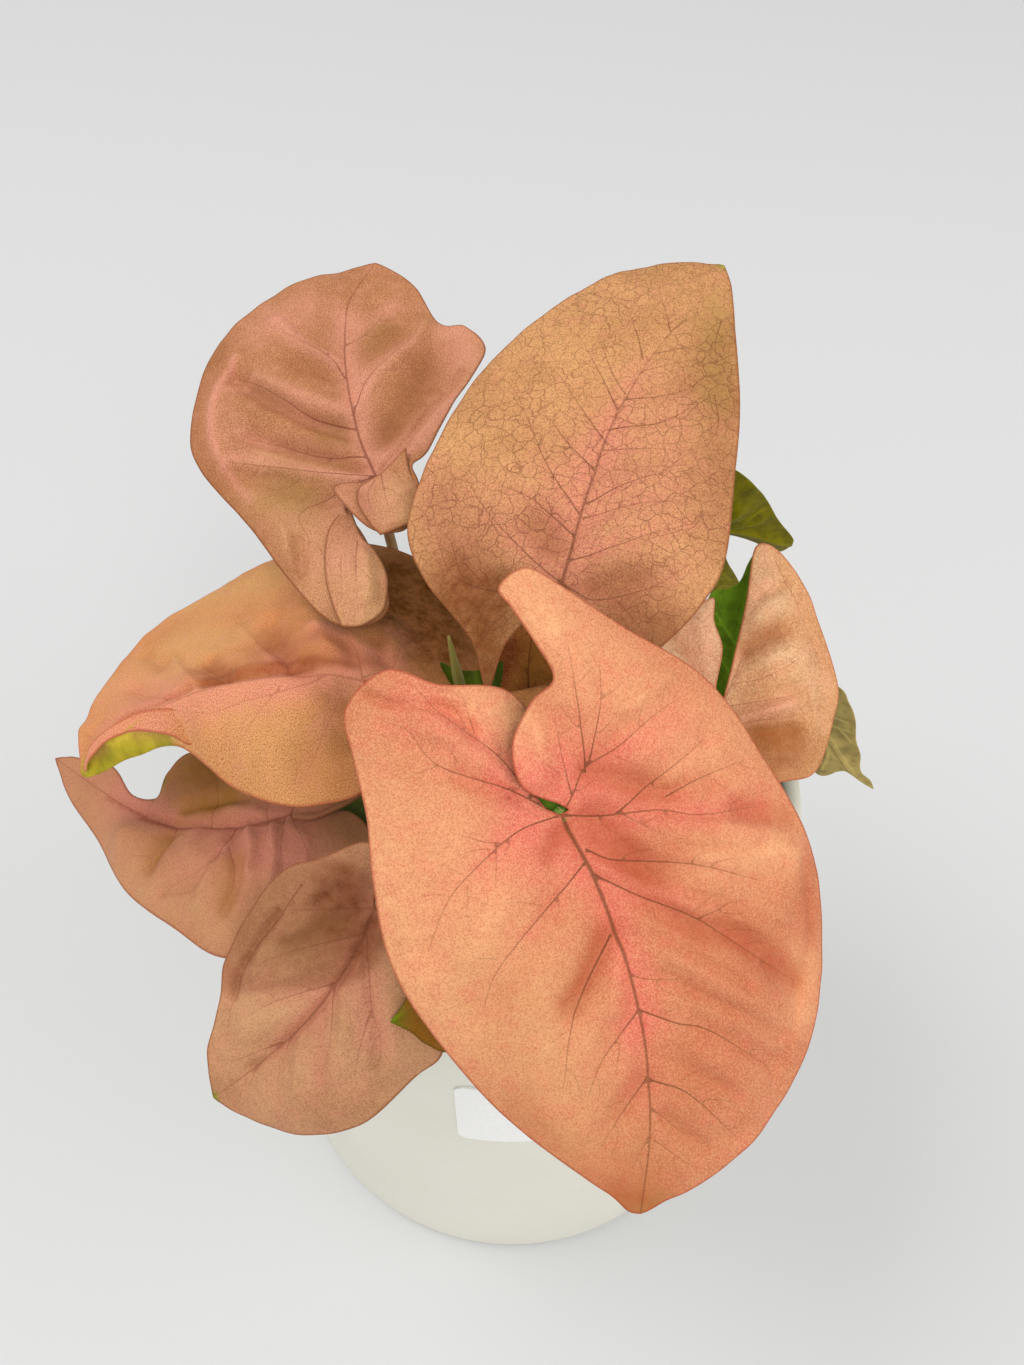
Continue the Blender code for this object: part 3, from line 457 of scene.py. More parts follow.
        deep=[([(27, 26), (14, 30.5), (3, 27.5), (-8, 20), (-17, 13.5)], 2.2, 0.4),
            ([(10, 6), (12, 12.5), (16.5, 20)], 1.5, 0.45), ([(2.5, 3), (4, 8), (6, 16)], 1.4, 0.35),
            ([(27.5, 8.5), (24, 11)], 4.5, 0.25), ([(18.5, 7), (19.5, 12.5)], 3.5, 0.2),
            ([(24, 1.5), (26.5, -3.5)], 3.5, 0.25), ([(9.5, -3), (15.5, -6.5), (20, -8)], 3, 0.35),
            ([(6, 0), (8.5, -1.5)], 2.5, 0.3), ([(5, 7.5), (6.5, 10.5)], 4, 0.2)],
        olive=[([(-2, 15.5), (-3.5, 12.5)], 5, 0.5), ([(9, 6), (7.5, 7.5)], 2.5, 0.35),
            ([(26, 1), (28, -1.5)], 2.5, 0.35), ([(18, 19), (16, 17.5)], 3, 0.2)],
        flaps=[
            Sheet(
                ink=0.6,
                midrib=[(-5, 4.5, -0.3), (-8.5, 7, 0.6), (-12.5, 8, 0.9), (-18, 8, 0.8), (-22.5, 7, 0.6),
                    (-26.5, 5.5, 0.4)],
                left=[(-11, 2.5, 0.5), (-13.5, 0.5, 0.8), (-18, -1.5, 1), (-22, -1.5, 0.9),
                    (-24.5, -0.5, 0.6), (-26.5, 2.5, 0.5)],
                inner=[(-17, 3.5, 2.2), (-22, 3, 1.8)],
                veins=[[(-12, 3), (-17, 3.2), (-21, 3), (-24.5, 3)], [(-15, 5.5), (-23, 5.5)],
                    [(-17, 3), (-20, 0.5)]],
                folds=[([(-14, 1.5), (-22, 1)], 1.0, 0.5)],
                pink=[([(-12, 4), (-15, 6)], 4, 0.4)],
                light=[([(-18, 3), (-25, 2)], 6, 0.7)]),
            Sheet(
                ink=0.9,
                midrib=[(3, -5, 3.6), (-1, -1.5, 3.6), (-3, 1, 3.8), (-4.5, 2.5, 4), (-7.5, 2.5, 4.4),
                    (-11.5, 0.5, 5), (-13.5, -1, 5.3)],
                left=[(-1.5, -5.5, 4.5), (-5.5, -7, 5), (-9, -7, 5.4), (-11, -7.5, 5.6),
                    (-12.5, -4.5, 5.8)],
                inner=[(-8, -2, 6.2), (-7, -4, 6.2)],
                veins=[[(-1, -1), (-5, -1.5), (-10, -2.5)], [(-5, -1.5), (-7, -4), (-9, -5)],
                    [(-3, 0), (-6, 1), (-10, 0)], [(-1, -3), (-5, -5)]],
                pink=[([(-4, 2), (-8, 2)], 1.8, 0.5)],
                light=[([(-6, -3), (-10, -4)], 3.5, 0.7)],
                deep=[([(-6, 2), (-9, 1.5)], 1.4, 0.4), ([(-13, -3), (-12, -6)], 1.0, 0.4)])]),
    "blade_left": Leaf(
        "left", (-22, -8, 136), (177, 17, 0), arrive=105, pillow=0.5, ink=0.4,
        midrib=[(0, 0, 0), (6.5, -0.5, 3), (15, -0.5, 4), (24, 0, 4), (34, 0.5, 2), (43.5, 2.5, -1),
            (52, -2.5, -3)],
        left=[(-1.5, 3.5, -1), (-3, 8.5, -4), (1, 14, -8), (7, 15, -9), (15, 14, -9), (23.5, 10, -8),
            (32, 3.9, -4), (41, 3.5, -5), (50.5, 4.5, -7), (51.5, 1.5, -5)],
        right=[(-1, -0.5, -0.5), (-2.5, -1, -2.5), (-4, -2, -6), (-7, -4, -10.5), (-11.5, -6.5, -14),
            (-13.5, -16, -15.5), (-10.5, -25, -12.5), (-4, -30.5, -6), (5, -34, -2.5), (15, -37.5, -4),
            (26, -37.5, -5), (38, -34.5, -7), (48, -27.5, -7), (52, -13, -5), (52, -6, -4)],
        inner=[(15, 7, -1), (26, 5, 0), (6, 8, -3), (22, -10, 0), (34, -12, -2), (20, -24, -2.5),
            (8, -9, 0.5), (4, -20, -2.5), (-4, -16, -8)],
        veins=[[(4.5, -0.5), (11, 1.5), (17.5, 2.5), (24, 3.5), (29.5, 2.5)],
            [(11.5, -0.5), (13, -5), (18.5, -10.5), (27, -21)], [(0, 0), (3, -8), (6, -13), (10, -22)],
            [(0, 0), (-2, -9), (-3.5, -16.5)], [(3, 2), (7, 8), (10.5, 12)],
            [(20, -0.5), (28, -7), (40, -16)], [(29, 0), (37, -5), (46, -11)], [(12, 1), (18, 6), (22, 8)]],
        folds=[([(11, -2.2), (22, -2), (32, -2.2), (42, -1.4)], 1.3, -1.1),
            ([(20, -17.5), (14.5, -8), (8.5, -1.5)], 2.2, -0.9), ([(9.5, -13), (6, -7)], 1.5, 1),
            ([(-1, -15.5), (-2, -10)], 1.4, 0.9), ([(1, -11.5), (-0.5, -7)], 1.1, -0.8),
            ([(5, -10), (3, -5)], 0.8, -0.5), ([(26.5, -20), (18.5, -10), (12, -2)], 0.7, 0.4),
            ([(38, -15), (26.5, -1.5)], 0.9, 0.7), ([(29, -10.5), (23, -4)], 1.6, -0.9),
            ([(45.5, -20), (40, -14)], 1.4, -0.5), ([(44, -10), (34, -2)], 1.6, -0.4),
            ([(10.5, 10), (5, 9.5)], 2, -0.4), ([(6, 2), (3, 5.5)], 2.2, -0.5)],
        pink=[([(1, -5.5)], 4.5, 1), ([(8, -11)], 3, 0.9), ([(-1.5, -14.5)], 2.6, 0.7),
            ([(-0.5, -8)], 2.5, 0.9), ([(15, -6.5), (11.5, -2)], 2.5, 0.8),
            ([(47.5, -11.5), (33.5, -4)], 5, 0.5),
            ([(45, 2.5), (41, -2), (25, 1), (12, 0.5), (3, 0)], 3.2, 0.75)],
        light=[([(40, -33.5), (24, -31.5)], 6, 0.7), ([(39.5, -21.5), (27, -16)], 4.5, 0.6),
            ([(48, -14), (36, -10)], 7, 0.5), ([(18, 7), (12, 10)], 8, 0.5), ([(36, 2), (30, 3)], 4, 0.5)],
        # Painted shade behind the ridge of the fold and in the valleys
        deep=[([(3, -3.2), (10, -3.4), (17, -3.6), (26, -3.4)], 1.5, 0.7),
            ([(1, -5.5), (8, -10)], 2.4, 0.6), ([(18, -12.5), (10, -4)], 4, 0.5),
            ([(28.5, -8.5), (22.5, -3.5)], 2.4, 0.6), ([(9, 11), (5, 13.5)], 4, 0.3)],
        # The first two olive patches are painted deep shade on the right lobe, which lies under
        # blade_back_left and blade_back
        olive=[([(-5, -23.5), (-7, -14)], 8, 1), ([(0.5, -25.5), (-1, -21.5)], 6, 0.7),
            ([(3.5, 3), (2.5, 8)], 4, 0.6)],
        green=[([(34, 3.6), (42, 3.4), (50, 4.2)], 1.7, 1.0)],
        flaps=[
            Sheet(
                pillow=0, wave=0,
                midrib=[(50.5, 3.6, -5.5), (47, 2.2, -1.8), (42, 1, 0.4), (35.5, 0.5, 1.8),
                    (26.5, 1.5, 1.6)],
                left=[(49.5, 4.6, -5.4), (48, 4.2, -3.4), (44, 3.2, -1), (41.5, 2.6, -0.5),
                    (38.5, 2.3, -0.3), (35.5, 2.7, -0.6), (32, 3.4, -1.8), (29, 4.5, -2.8)],
                pink=[([(49, 4), (42, 2.5), (34, 2)], 3, 0.8)])]),
    "blade_low_left": Leaf(
        "left", (-35.5, -15, 111.5), (154, 17, 0), pillow=0.45, ink=0.5, relief=0.75,
        midrib=[(0, 0, 0), (8.5, 3.5, -1), (20, 6.5, -1), (36.5, 4.5, -2), (61.5, -2, -3)],
        left=[(-2.5, 0.5, 0), (-8.5, -3.5, -1), (-15, -1, -1), (-16, 1.5, -2), (-14.5, 11, -3),
            (-12, 19.5, -4), (-2, 24, -5), (10.5, 22, -5), (24.5, 18.5, -5), (38.5, 11, -5), (51, 5, -4)],
        right=[(-0.5, -1.5, 0), (-4.5, -5, -1), (-7.5, -9, -2), (4, -9, 0), (17, -8.5, 1), (26, -6, 2),
            (28.5, -2, 1), (28, 3, 0), (34.5, 3, -1), (43.5, -1.5, -1), (54, -2.5, -2)],
        inner=[(5, 10, 1), (15.5, 13.5, 0), (29, 11, 0), (0, 17.5, -1), (12, -3, 1)],
        veins=[[(20.5, 6.5), (19, 11), (20, 14), (23, 16.5)], [(9.5, 3.5), (7, 10), (8.5, 14), (15, 18)],
            [(6.5, 8.5), (2.5, 12), (1, 15.5), (2, 19.5)], [(3, 2), (-1.5, 9.5)], [(1, 0.5), (-5.5, 10)],
            [(0, 0), (-5.5, 4), (-8.5, 6.5)], [(29, 5.5), (26.5, -0.5), (27, -4)], [(33, 5), (35, 9)],
            [(14, 5), (17, -2), (22, -5)], [(4, 1.5), (8, -5)]],
        folds=[([(0.5, 1), (6.5, 3), (12, 4.5), (22, 6.5), (28, 6.5)], 0.8, -0.6),
            ([(5.5, 4.5), (1.5, 8), (-0.5, 12)], 0.9, 0.7), ([(2.5, 4.5), (0.5, 8)], 0.8, -0.15),
            ([(1.5, 3), (-3, 8), (-5, 12)], 0.9, 0.7), ([(-1, 3), (-4, 6)], 0.8, -0.15),
            ([(-2, 2), (-6, 4), (-9, 8)], 0.9, 0.6), ([(-4.5, 2.5), (-7, 5)], 0.8, -0.15),
            ([(8, 5.5), (1, 12.5), (0.5, 18)], 1.4, -0.8), ([(6.5, 10), (8, 16), (15, 18)], 0.7, -0.5),
            ([(6.5, 13), (5.5, 18.5)], 1.4, 0.6), ([(19.5, 8.5), (19.5, 14.5)], 1.6, -1),
            ([(15, 7), (11, 13)], 1.7, 0.6), ([(20, 3.5), (15.5, 1), (10, -1)], 1.3, -1),
            ([(11.5, 2), (5.5, 1)], 1.1, 0.6), ([(40.5, 3.5), (26.5, 6), (21, 6.5)], 0.7, -0.4),
            ([(27, 11), (30, 15)], 1.6, 0.4)],
        pink=[([(38.5, 2.5), (22.5, 6), (6.5, 3), (-1.5, -0.5)], 3, 0.8), ([(-6, 7), (12, 8)], 5, 0.5),
            ([(1.5, 8.5), (-4.5, 6.5)], 5, 0.7), ([(1.5, -2.5), (-3, -1)], 4, 0.8),
            ([(36, 2), (30, 4)], 5, 0.5)],
        light=[([(27, 16), (10, 19.5), (0, 21)], 3, 0.6), ([(49.5, 3.5), (30.5, 13.5)], 2, 0.3)],
        # The deep and olive patches are painted shade, in the valleys of the folds and over the right lobe
        deep=[([(24, -3), (18, -1.5)], 5, 0.3), ([(-4.5, -5), (-7.5, -9)], 4, 0.3)],
        olive=[([(19.5, 3.5), (13.5, 0.5)], 2.2, 0.7), ([(19.5, 9.5), (19.5, 14)], 2.4, 0.5),
            ([(3, 11), (1, 17)], 2.2, 0.5), ([(24, -3), (14, -5)], 5, 0.7)],
        green=[([(28.4, 0), (28.5, 2.5)], 0.8, 0.9)],
        flaps=[
            Sheet(
                midrib=[(-1, 0.8, 0), (-4.5, 0.5, 0.3), (-6.5, -1, 0.3), (-9, -4, 0.2), (-10, -7, -0.5)],
                left=[(0, -1, 0.2), (-1, -3.5, 0.4), (-5, -7.5, 0.2), (-9, -9, -0.5)],
                inner=[(-4, -3, 1)],
                folds=[([(-1, -0.5), (-5, -1.5), (-8, -4.5)], 0.6, -0.4)],
                pink=[([(-1, -1), (-4, -2)], 3, 0.7)]),
            Sheet(
                pillow=0, wave=0,
                midrib=[(1, -6, -4.5), (-4, -11.5, -5.5), (-13, -10, -5.5)],
                left=[(1, -2, -4.5), (-7, 3.5, -5), (-14.5, 2, -5.5), (-15, -6, -5.5)],
                veins=[[(-2, -5), (-8, -4), (-13, -4)]],
                green=[([(-6, -4)], 16, 1.0)])]),
    "blade_low_front": Leaf(
        "front", (-19, -39, 123.5), (-144, 38, -15), ink=0.6,
        midrib=[(0, 0, 0), (7, 2, 0), (18, 3, 0), (30, 1.5, -1), (39, -0.5, -2)],
        left=[(-0.5, 1, 0), (-3.5, 3, -1.5), (-1.5, 8, -3.5), (4, 14.5, -5), (9, 19.5, -5),
            (14.5, 19, -4.5), (24.5, 18, -3.5), (32.5, 12.5, -3), (37.5, 4.5, -3)],
        right=[(-1, -1, 0), (-5, -2.5, 0), (-6, -7, 0), (0.5, -10.5, 1), (5.5, -13.5, 1), (13, -13.5, 1),
            (21, -12, 0.5), (27, -8.5, 0), (34, -5.5, -1)],
        inner=[(8, 9, 0.5), (18, 11, 0.5), (28, 8, 0), (8, -6, 1.5), (19, -5, 1.5)],
        veins=[[(0, 0), (5, -5), (7.5, -7.5), (10, -9)], [(4, 1), (11.5, -4), (17, -7)],
            [(12, 2.5), (19, -1.5), (24, -3.5)], [(24.5, 2), (31, -1), (33.5, -3)],
            [(3, 0.5), (10, 9), (12.5, 12.5), (16, 14.5)], [(10, 9), (15.5, 11.5), (19.5, 13.5)],
            [(12, 2.5), (17.5, 7.5), (23, 10)], [(22, 2.5), (29, 6)], [(29, 1.5), (34, 3)],
            [(5, -10), (10, -9.5), (20, -9), (30.5, -4.5)]],
        folds=[([(1, -2), (5.5, -3.5), (10, -4.5), (13, -6)], 1.4, -0.7),
            ([(10.5, -10), (16.5, -9.5), (21, -9), (24.5, -7.5)], 0.7, -0.7),
            ([(1, -5), (5, -6.5)], 1.2, -0.7), ([(2.5, -8.5), (2.5, -5.5)], 1, 0.5),
            ([(0.5, 1), (11.5, 3), (20, 3), (30.5, 1)], 0.6, -0.5),
            ([(6, 3), (10, 9), (16, 14.5)], 0.6, -0.35), ([(10.5, 4), (16, 9)], 0.8, 0.35),
            ([(15.5, 4), (22.5, 10.5)], 0.8, -0.3), ([(21, 4), (26.5, 8.5)], 0.8, 0.3),
            ([(7, 10.5), (13.5, 16)], 1, 0.35), ([(26.5, 2), (32.5, -2.5)], 0.9, 0.35),
            ([(21, -3.5), (27, -2)], 2, 0.5), ([(12, -3.5), (17.5, -5)], 2, 0.4)],
        pink=[([(1, -4), (0.5, 0.5)], 4.5, 0.9), ([(1, 1), (13, 3), (24, 2.5)], 1.6, 0.7),
            ([(7, 2.5), (13.5, 11.5)], 2.2, 0.5), ([(14.5, 3), (23, 10)], 1.2, 0.5),
            ([(6.5, 7), (12, 13)], 2, 0.4), ([(22, -8), (15.5, -0.5)], 2.4, 0.5)],
        # The light patch from (14, -5) to (18, -7) is painted light, a less shaded spot inside the painted
        # shadow
        light=[([(24.5, -4.5), (18.5, 0)], 3.5, 0.7), ([(17.5, 9.5), (16.5, 12.5)], 4, 0.3),
            ([(14, -5), (18, -7)], 3, 0.7), ([(24.5, -9.5), (31, -6.5)], 0.8, 0.5)],
        # The deep patches are painted shade: the first, with its sharp edge, a cast shadow thrown by the
        # blades above, the second at the foot; the olive patch is painted shade in a valley
        deep=[([(18.5, -14.5), (12, -9), (6, -3.5)], 9, 0.52, 20), ([(-1, -6), (4, -4), (4, 2)], 4, 0.5)],
        olive=[([(5, -3), (12, -5)], 2.4, 0.3)],
        green=[([(39, -0.5)], 1.0, 1.0)]),
    "blade_right": Leaf(
        "right", (32, -6.5, 128), (-80, 31, 0), ink=0.45,
        midrib=[(0, 0, 0), (8.5, 1, 0), (14, 1, -0.5), (18, 1, -1.5)],
        left=[(-1, 0.8, 0), (-7.5, 3.5, 1), (-16, 7, 1), (-24.5, 10.5, 0), (-23.5, 14.5, -1), (-17, 18, -2),
            (-10.5, 19.5, -3), (-1, 21.3, -5), (4, 19.3, -4.8), (8, 17.2, -4.6), (11, 15.4, -4.8),
            (12.4, 13, -3.8), (12.6, 8.5, -2), (13.2, 5, -1.5), (15.5, 2.5, -1.5)],
        right=[(-1, -0.5, 0), (-3.5, 0, 0), (-9, 2, 0), (-13.5, 1.5, 0), (-17.5, 2.5, -1.5),
            (-15.5, -1.5, 0), (-11, -8, 2), (-3, -9.5, 1.5), (6.5, -8, -1), (15, -4, -2)],
        inner=[(-12, 12, 1), (-3, 12, 1), (6, 8, 0.5), (-8, -3, 0.6)],
        veins=[[(-1, 1), (-7.5, 5), (-9, 8), (-10.5, 13), (-13.5, 15)],
            [(0, 0), (-3, 2.5), (-3.5, 7.5), (-5.5, 13), (-8.5, 16.5)],
            [(0, 0), (0, 8), (-0.5, 13), (-2.5, 16.5)], [(1, 0), (3, 2), (3, 5), (3, 10.5), (2.5, 15.5)],
            [(-22, 13.5), (-14.5, 15.5), (-5.5, 18), (1, 19)], [(6, 0.5), (9, 6), (9, 12)],
            [(12, 1), (15, 6)], [(0, 0), (-6, -2), (-11, -4)], [(3, 0), (8, -5)]],
        folds=[([(2.5, 2.5), (2, 6.5), (1, 11)], 1, 0.9), ([(6, 3), (5.5, 10.5)], 1.8, -0.7),
            ([(-7.5, 3.5), (-9, 8), (-11, 13)], 1.3, -0.7), ([(-13, 8), (-15.5, 13.5)], 2, 0.5),
            ([(-5, 8.5), (-7, 14.5)], 1.9, 0.6), ([(-1.5, 3.5), (-1, 13)], 1.5, -0.4),
            ([(-1, 15.5), (5.5, 15.5)], 1, 0.4), ([(-18, -2.5), (-11, -1)], 1.8, 0.4),
            ([(-16, 9), (-18, 14)], 0.9, -0.45), ([(-3.5, 5), (-5, 12)], 0.8, -0.45),
            ([(4.5, 4), (4.5, 12)], 0.8, -0.45), ([(8.5, 4), (9, 11)], 0.9, 0.4)],
        pink=[([(2.5, 2.5), (1, 11)], 1.4, 0.8), ([(-18, -2.5), (-7.5, -2)], 5, 0.8),
            ([(-13, 6), (-17.5, 9.5)], 2, 0.4)],
        # The last light patch is painted light on the right lobe, which blade_back overhangs
        light=[([(-22.5, 10.5), (-15.5, 11)], 4, 0.3), ([(-7.5, 10.5), (-2.5, 15)], 3.5, 0.3),
            ([(-16, 0), (-10, -4), (-4, -6)], 7, 1.0)],
        # Painted shade, mostly in the valleys of the folds
        deep=[([(6, 5), (8, 10), (10, 4)], 4.5, 0.9), ([(-9, 5.5), (-10.5, 10.5)], 2, 0.6),
            ([(-12, -5.5), (-6.5, -3.5)], 1.6, 0.5)]),
    "blade_right_young": Leaf(
        "right", (38, 8, 110), (81, -69, 180), arrive=0,
        midrib=[(0, 0, 0), (13.5, -0.5, 0), (30, 0, 0)],
        left=[(2, 2, 0), (10, 4.5, 0), (19.5, 4.5, 0), (27.5, 2, 0)],
        right=[(3.5, -3.5, 0), (11, -5.5, 0), (18, -6.5, 0), (21.5, -6, 0), (22.5, -3.5, 0), (24, -1.8, 0),
            (27, -1, 0)],
        veins=[[(5, 0), (10, 3)], [(10, -0.2), (16, 3)], [(6, 0), (11, -4)], [(12, -0.3), (18, -5)]]),
    "blade_far_right": Leaf(
        "right", (48, 8, 113), (-25, 39, -80), arrive=65,
        midrib=[(0, 0, 0), (7.5, -1, 0), (15, 0.5, 0), (20, 1.6, 0), (24.5, 1.5, 0.5)],
        left=[(2.5, 3, 0), (10, 9.5, 0), (18.5, 10, 0), (18.6, 5, 0), (18.9, 3.4, 0), (20.6, 3.3, 0.3),
            (23, 2.6, 0.5)],
        right=[(-1.5, -2, 0), (-3.5, -9, 0), (1, -11, 0), (4, -10, 0), (8, -8, 0), (12, -4.8, 0),
            (15.5, -3, 0), (18.3, -0.5, 0), (20.2, 0.5, 0), (22.5, 0.8, 0.5)],
        inner=[(6, 4, -1), (4, -6, -1)],
        veins=[[(2, -0.5), (8, 4), (14, 8)], [(7, -2), (13, 2), (17, 7)], [(2, -1), (4, -6)],
            [(6, -2), (10, -5)]]),
    "blade_back_right": Leaf(
        "back", (30, 36.5, 128), (13, 25, -70), arrive=65,
        midrib=[(0, 0, 0), (11.5, -1.5, 0), (25, -1, 0)],
        left=[(2, 4, 0), (14, 16, 0), (23, 21, 0), (27, 21, 0), (26, 16, 0), (17, 8.5, 0), (10.5, 1.5, 0),
            (14, 0.2, 0), (18, 1, 0), (24.5, 2.2, 0)],
        right=[(-4.5, -4.5, 0), (-8.5, -14.5, 0), (-6, -18, 0), (-1, -17, 0), (6.5, -14, 0),
            (17.5, -6.5, 0), (23.5, -3, 0)],
        inner=[(0, -8, -1), (8, -6, -1)],
        veins=[[(2, 0), (9, 7), (17, 14), (24, 19)], [(1, 0), (-2, -8), (-5, -14)], [(4, -0.5), (7, -7)],
            [(8, -1), (13, -6)]]),
    "blade_centre": Leaf(
        "back", (4, -1, 118), (100, -60, 0), arrive=0,
        midrib=[(0, 1, 0), (9, 0.5, -0.5), (17, -1, 0)],
        left=[(0.5, 3.5, 0), (4.5, 5.5, 0), (9.5, 6, 0), (14.5, 4, 0)],
        right=[(1.5, -0.5, 0), (5, -3, 0), (11.5, -3, 0), (16.5, -2, 0)],
        veins=[[(4, 1), (9, 4.5)], [(8, 0.8), (12, 3)], [(4, 1), (9, -2)], [(9, 0.5), (13, -1.5)]],
        pink=[([(8, 5.5), (13, 3)], 2.2, 0.9)],
        olive=[([(8.5, -0.5), (12, -2)], 2.5, 0.6)],
        flaps=[
            Sheet(
                pillow=0, wave=0,
                midrib=[(6, 6.8, 1.6), (6, 2.5, 1.4), (6.5, -1.5, 1.8), (7, -3.6, 2)],
                left=[(2.5, 6.5, 1.8), (-1.5, 4, 2), (0.3, 1.2, 2), (3.5, -1, 2), (5.6, -3, 2)],
                light=[([(3.5, 2.5)], 20, 1.0)])]),
    "blade_young": Leaf(
        "front", (-5.5, -7, 124.5), (95, -55, 180), arrive=0,
        midrib=[(0, 0, 0), (5, 0.5, -0.5), (8.5, 0.3, 0)],
        left=[(2.5, 2.5, 0.5), (6, 4, 0.5), (9.5, 4.5, 0.5), (8.8, 2.5, 0)],
        right=[(2.5, -1.5, 0.5), (5.5, -3, 0.5), (10, -5, 0.5), (8.8, -2.5, 0)],
        veins=[[(2, 0.2), (7, 3)], [(2, 0.2), (8, -3)]]),
    "blade_low_small": Leaf(
        "front", (-3, -43, 124), (-160, 25, 0),
        midrib=[(0, 0, 0), (9.5, 3.5, 0), (17.5, 4, 0)],
        left=[(-1, 2, 0), (5, 9, 0), (10.5, 12, 0), (13.5, 9.5, 0), (15, 7, 0)],
        right=[(1, -2, 0), (7.5, -1.5, 0), (13, 1.5, 0), (15.5, 3.2, 0)],
        veins=[[(2, 0.7), (7, 8)], [(6, 2), (11, 8)], [(4, 1.5), (9, 0.5)]],
        green=[([(17.5, 4)], 2.2, 0.9)]),
}


class Look:
    """Colours of a blade in daylight, out of 255, and how strong its net and grain are."""

    def __init__(self, main, deep, pink, light, olive, vein, margin, under, net, speck):
        self.main = main
        self.deep = deep
        self.pink = pink
        self.light = light
        self.olive = olive
        self.vein = vein
        self.margin = margin
        self.under = under
        self.net = net
        self.speck = speck


# The colours in the order of Look: main, deep, pink, light, olive, vein, margin and under. deep is also
# the colour of painted shade, and olive is too on some blades (darkest on blade_left, whose back lobe it
# shades). light is the colour of painted light on some blades (brightest on blade_right's lit lobe).
LOOKS = {
    "blade_front": Look((208, 137, 98), (182, 90, 58), (228, 122, 104), (240, 176, 128), (160, 116, 60),
                        (106, 66, 34), (172, 78, 52), (110, 150, 34), 0.07, 0.4),
    "blade_back": Look((210, 153, 104), (124, 66, 26), (220, 138, 114), (228, 176, 112), (160, 134, 60),
                       (104, 58, 34), (150, 86, 50), (150, 140, 60), 0.55, 0.42),
    "blade_back_left": Look((182, 121, 82), (138, 82, 44), (220, 148, 126), (226, 172, 124), (138, 108, 46),
                            (120, 60, 44), (136, 76, 44), (112, 130, 40), 0.1, 0.45),
    "blade_left": Look((224, 148, 94), (150, 76, 36), (233, 147, 125), (226, 176, 112), (100, 54, 0),
                       (140, 72, 48), (184, 92, 62), (190, 176, 42), 0.08, 0.55),
    "blade_low_left": Look((194, 134, 100), (150, 92, 58), (198, 122, 106), (200, 150, 104), (156, 108, 30),
                           (124, 62, 50), (150, 84, 54), (100, 118, 40), 0.12, 0.4),
    "blade_low_front": Look((194, 142, 104), (122, 66, 34), (200, 130, 106), (206, 158, 114), (96, 68, 20),
                            (124, 70, 48), (140, 78, 44), (120, 130, 30), 0.1, 0.3),
    "blade_right": Look((217, 157, 104), (166, 96, 48), (248, 172, 138), (255, 216, 172), (150, 120, 60),
                        (150, 92, 62), (192, 96, 64), (110, 130, 40), 0.3, 0.35),
    "blade_right_young": Look((150, 190, 30), (120, 160, 14), (130, 170, 24), (136, 190, 30), (60, 100, 6),
                              (140, 190, 50), (214, 160, 114), (142, 184, 44), 0.05, 0.2),
    "blade_far_right": Look((180, 160, 92), (140, 130, 60), (190, 166, 112), (206, 190, 134), (84, 92, 12),
                            (200, 188, 136), (130, 118, 50), (184, 162, 96), 0.2, 0.25),
    "blade_back_right": Look((132, 122, 0), (106, 100, 0), (140, 126, 20), (148, 138, 10), (84, 84, 6),
                             (150, 140, 30), (106, 92, 6), (128, 119, 0), 0.2, 0.2),
    "blade_centre": Look((204, 128, 66), (164, 84, 36), (122, 44, 18), (250, 168, 108), (196, 136, 60),
                         (96, 48, 22), (180, 112, 70), (90, 96, 20), 0.3, 0.3),
    "blade_young": Look((116, 138, 34), (96, 118, 22), (200, 140, 100), (116, 150, 34), (60, 84, 6),
                        (116, 146, 40), (214, 150, 110), (74, 88, 8), 0.05, 0.2),
    "blade_low_small": Look((130, 82, 8), (110, 68, 4), (150, 96, 50), (146, 112, 40), (90, 80, 6),
                            (96, 60, 14), (100, 66, 16), (96, 124, 0), 0.3, 0.3),
}


def clear_scene():
    """Takes out what Blender starts with."""
    for item in list(bpy.data.objects):
        bpy.data.objects.remove(item)


def smooth_line(points, spacing):
    """A smooth curve through the points, with steps of about the spacing between them."""
    pts = [np.array(p, float) for p in points]
    if len(pts) == 1:
        return np.array(pts)
    pts = [2 * pts[0] - pts[1], *pts, 2 * pts[-1] - pts[-2]]
    curve = []
    for i in range(1, len(pts) - 2):
        a, b, c, d = pts[i - 1:i + 3]
        steps = max(1, round(np.linalg.norm(c - b) / spacing))
        for t in np.arange(steps) / steps:
            curve.append(0.5 * (2 * b + (c - a) * t + (2 * a - 5 * b + 4 * c - d) * t * t
                                + (3 * b - a - 3 * c + d) * t ** 3))
    curve.append(pts[-2])
    return np.array(curve)


def thin_plate(knots):
    """A function of x and y that gives the height of the smooth surface through the knots."""
    xy, z = knots[:, :2], knots[:, 2]

    def kernel(a, b):
        squared = ((a[:, None] - b[None]) ** 2).sum(-1)
        return 0.5 * squared * np.log(squared + 1e-9)

    size = len(xy)
    system = np.zeros((size + 3, size + 3))
    system[:size, :size] = kernel(xy, xy) + KNOT_SLACK * np.eye(size)
    system[:size, size] = 1
    system[:size, size + 1:] = xy
    system[size, :size] = 1
    system[size + 1:, :size] = xy.T
    weights = np.linalg.solve(system, np.concatenate([z, [0, 0, 0]]))

    def height(at):
        parts = [kernel(at[i:i + CHUNK], xy) @ weights[:size] for i in range(0, len(at), CHUNK)]
        return np.concatenate(parts) + weights[size] + at @ weights[size + 1:]

    return height


def nearest(points, samples):
    """For each point the distance to the nearest sample, and which one it is."""
    distance, which = [], []
    for i in range(0, len(points), CHUNK):
        gaps = np.hypot(points[i:i + CHUNK, None, 0] - samples[None, :, 0],
                        points[i:i + CHUNK, None, 1] - samples[None, :, 1])
        which.append(gaps.argmin(1))
        distance.append(gaps.min(1))
    return np.concatenate(distance), np.concatenate(which)


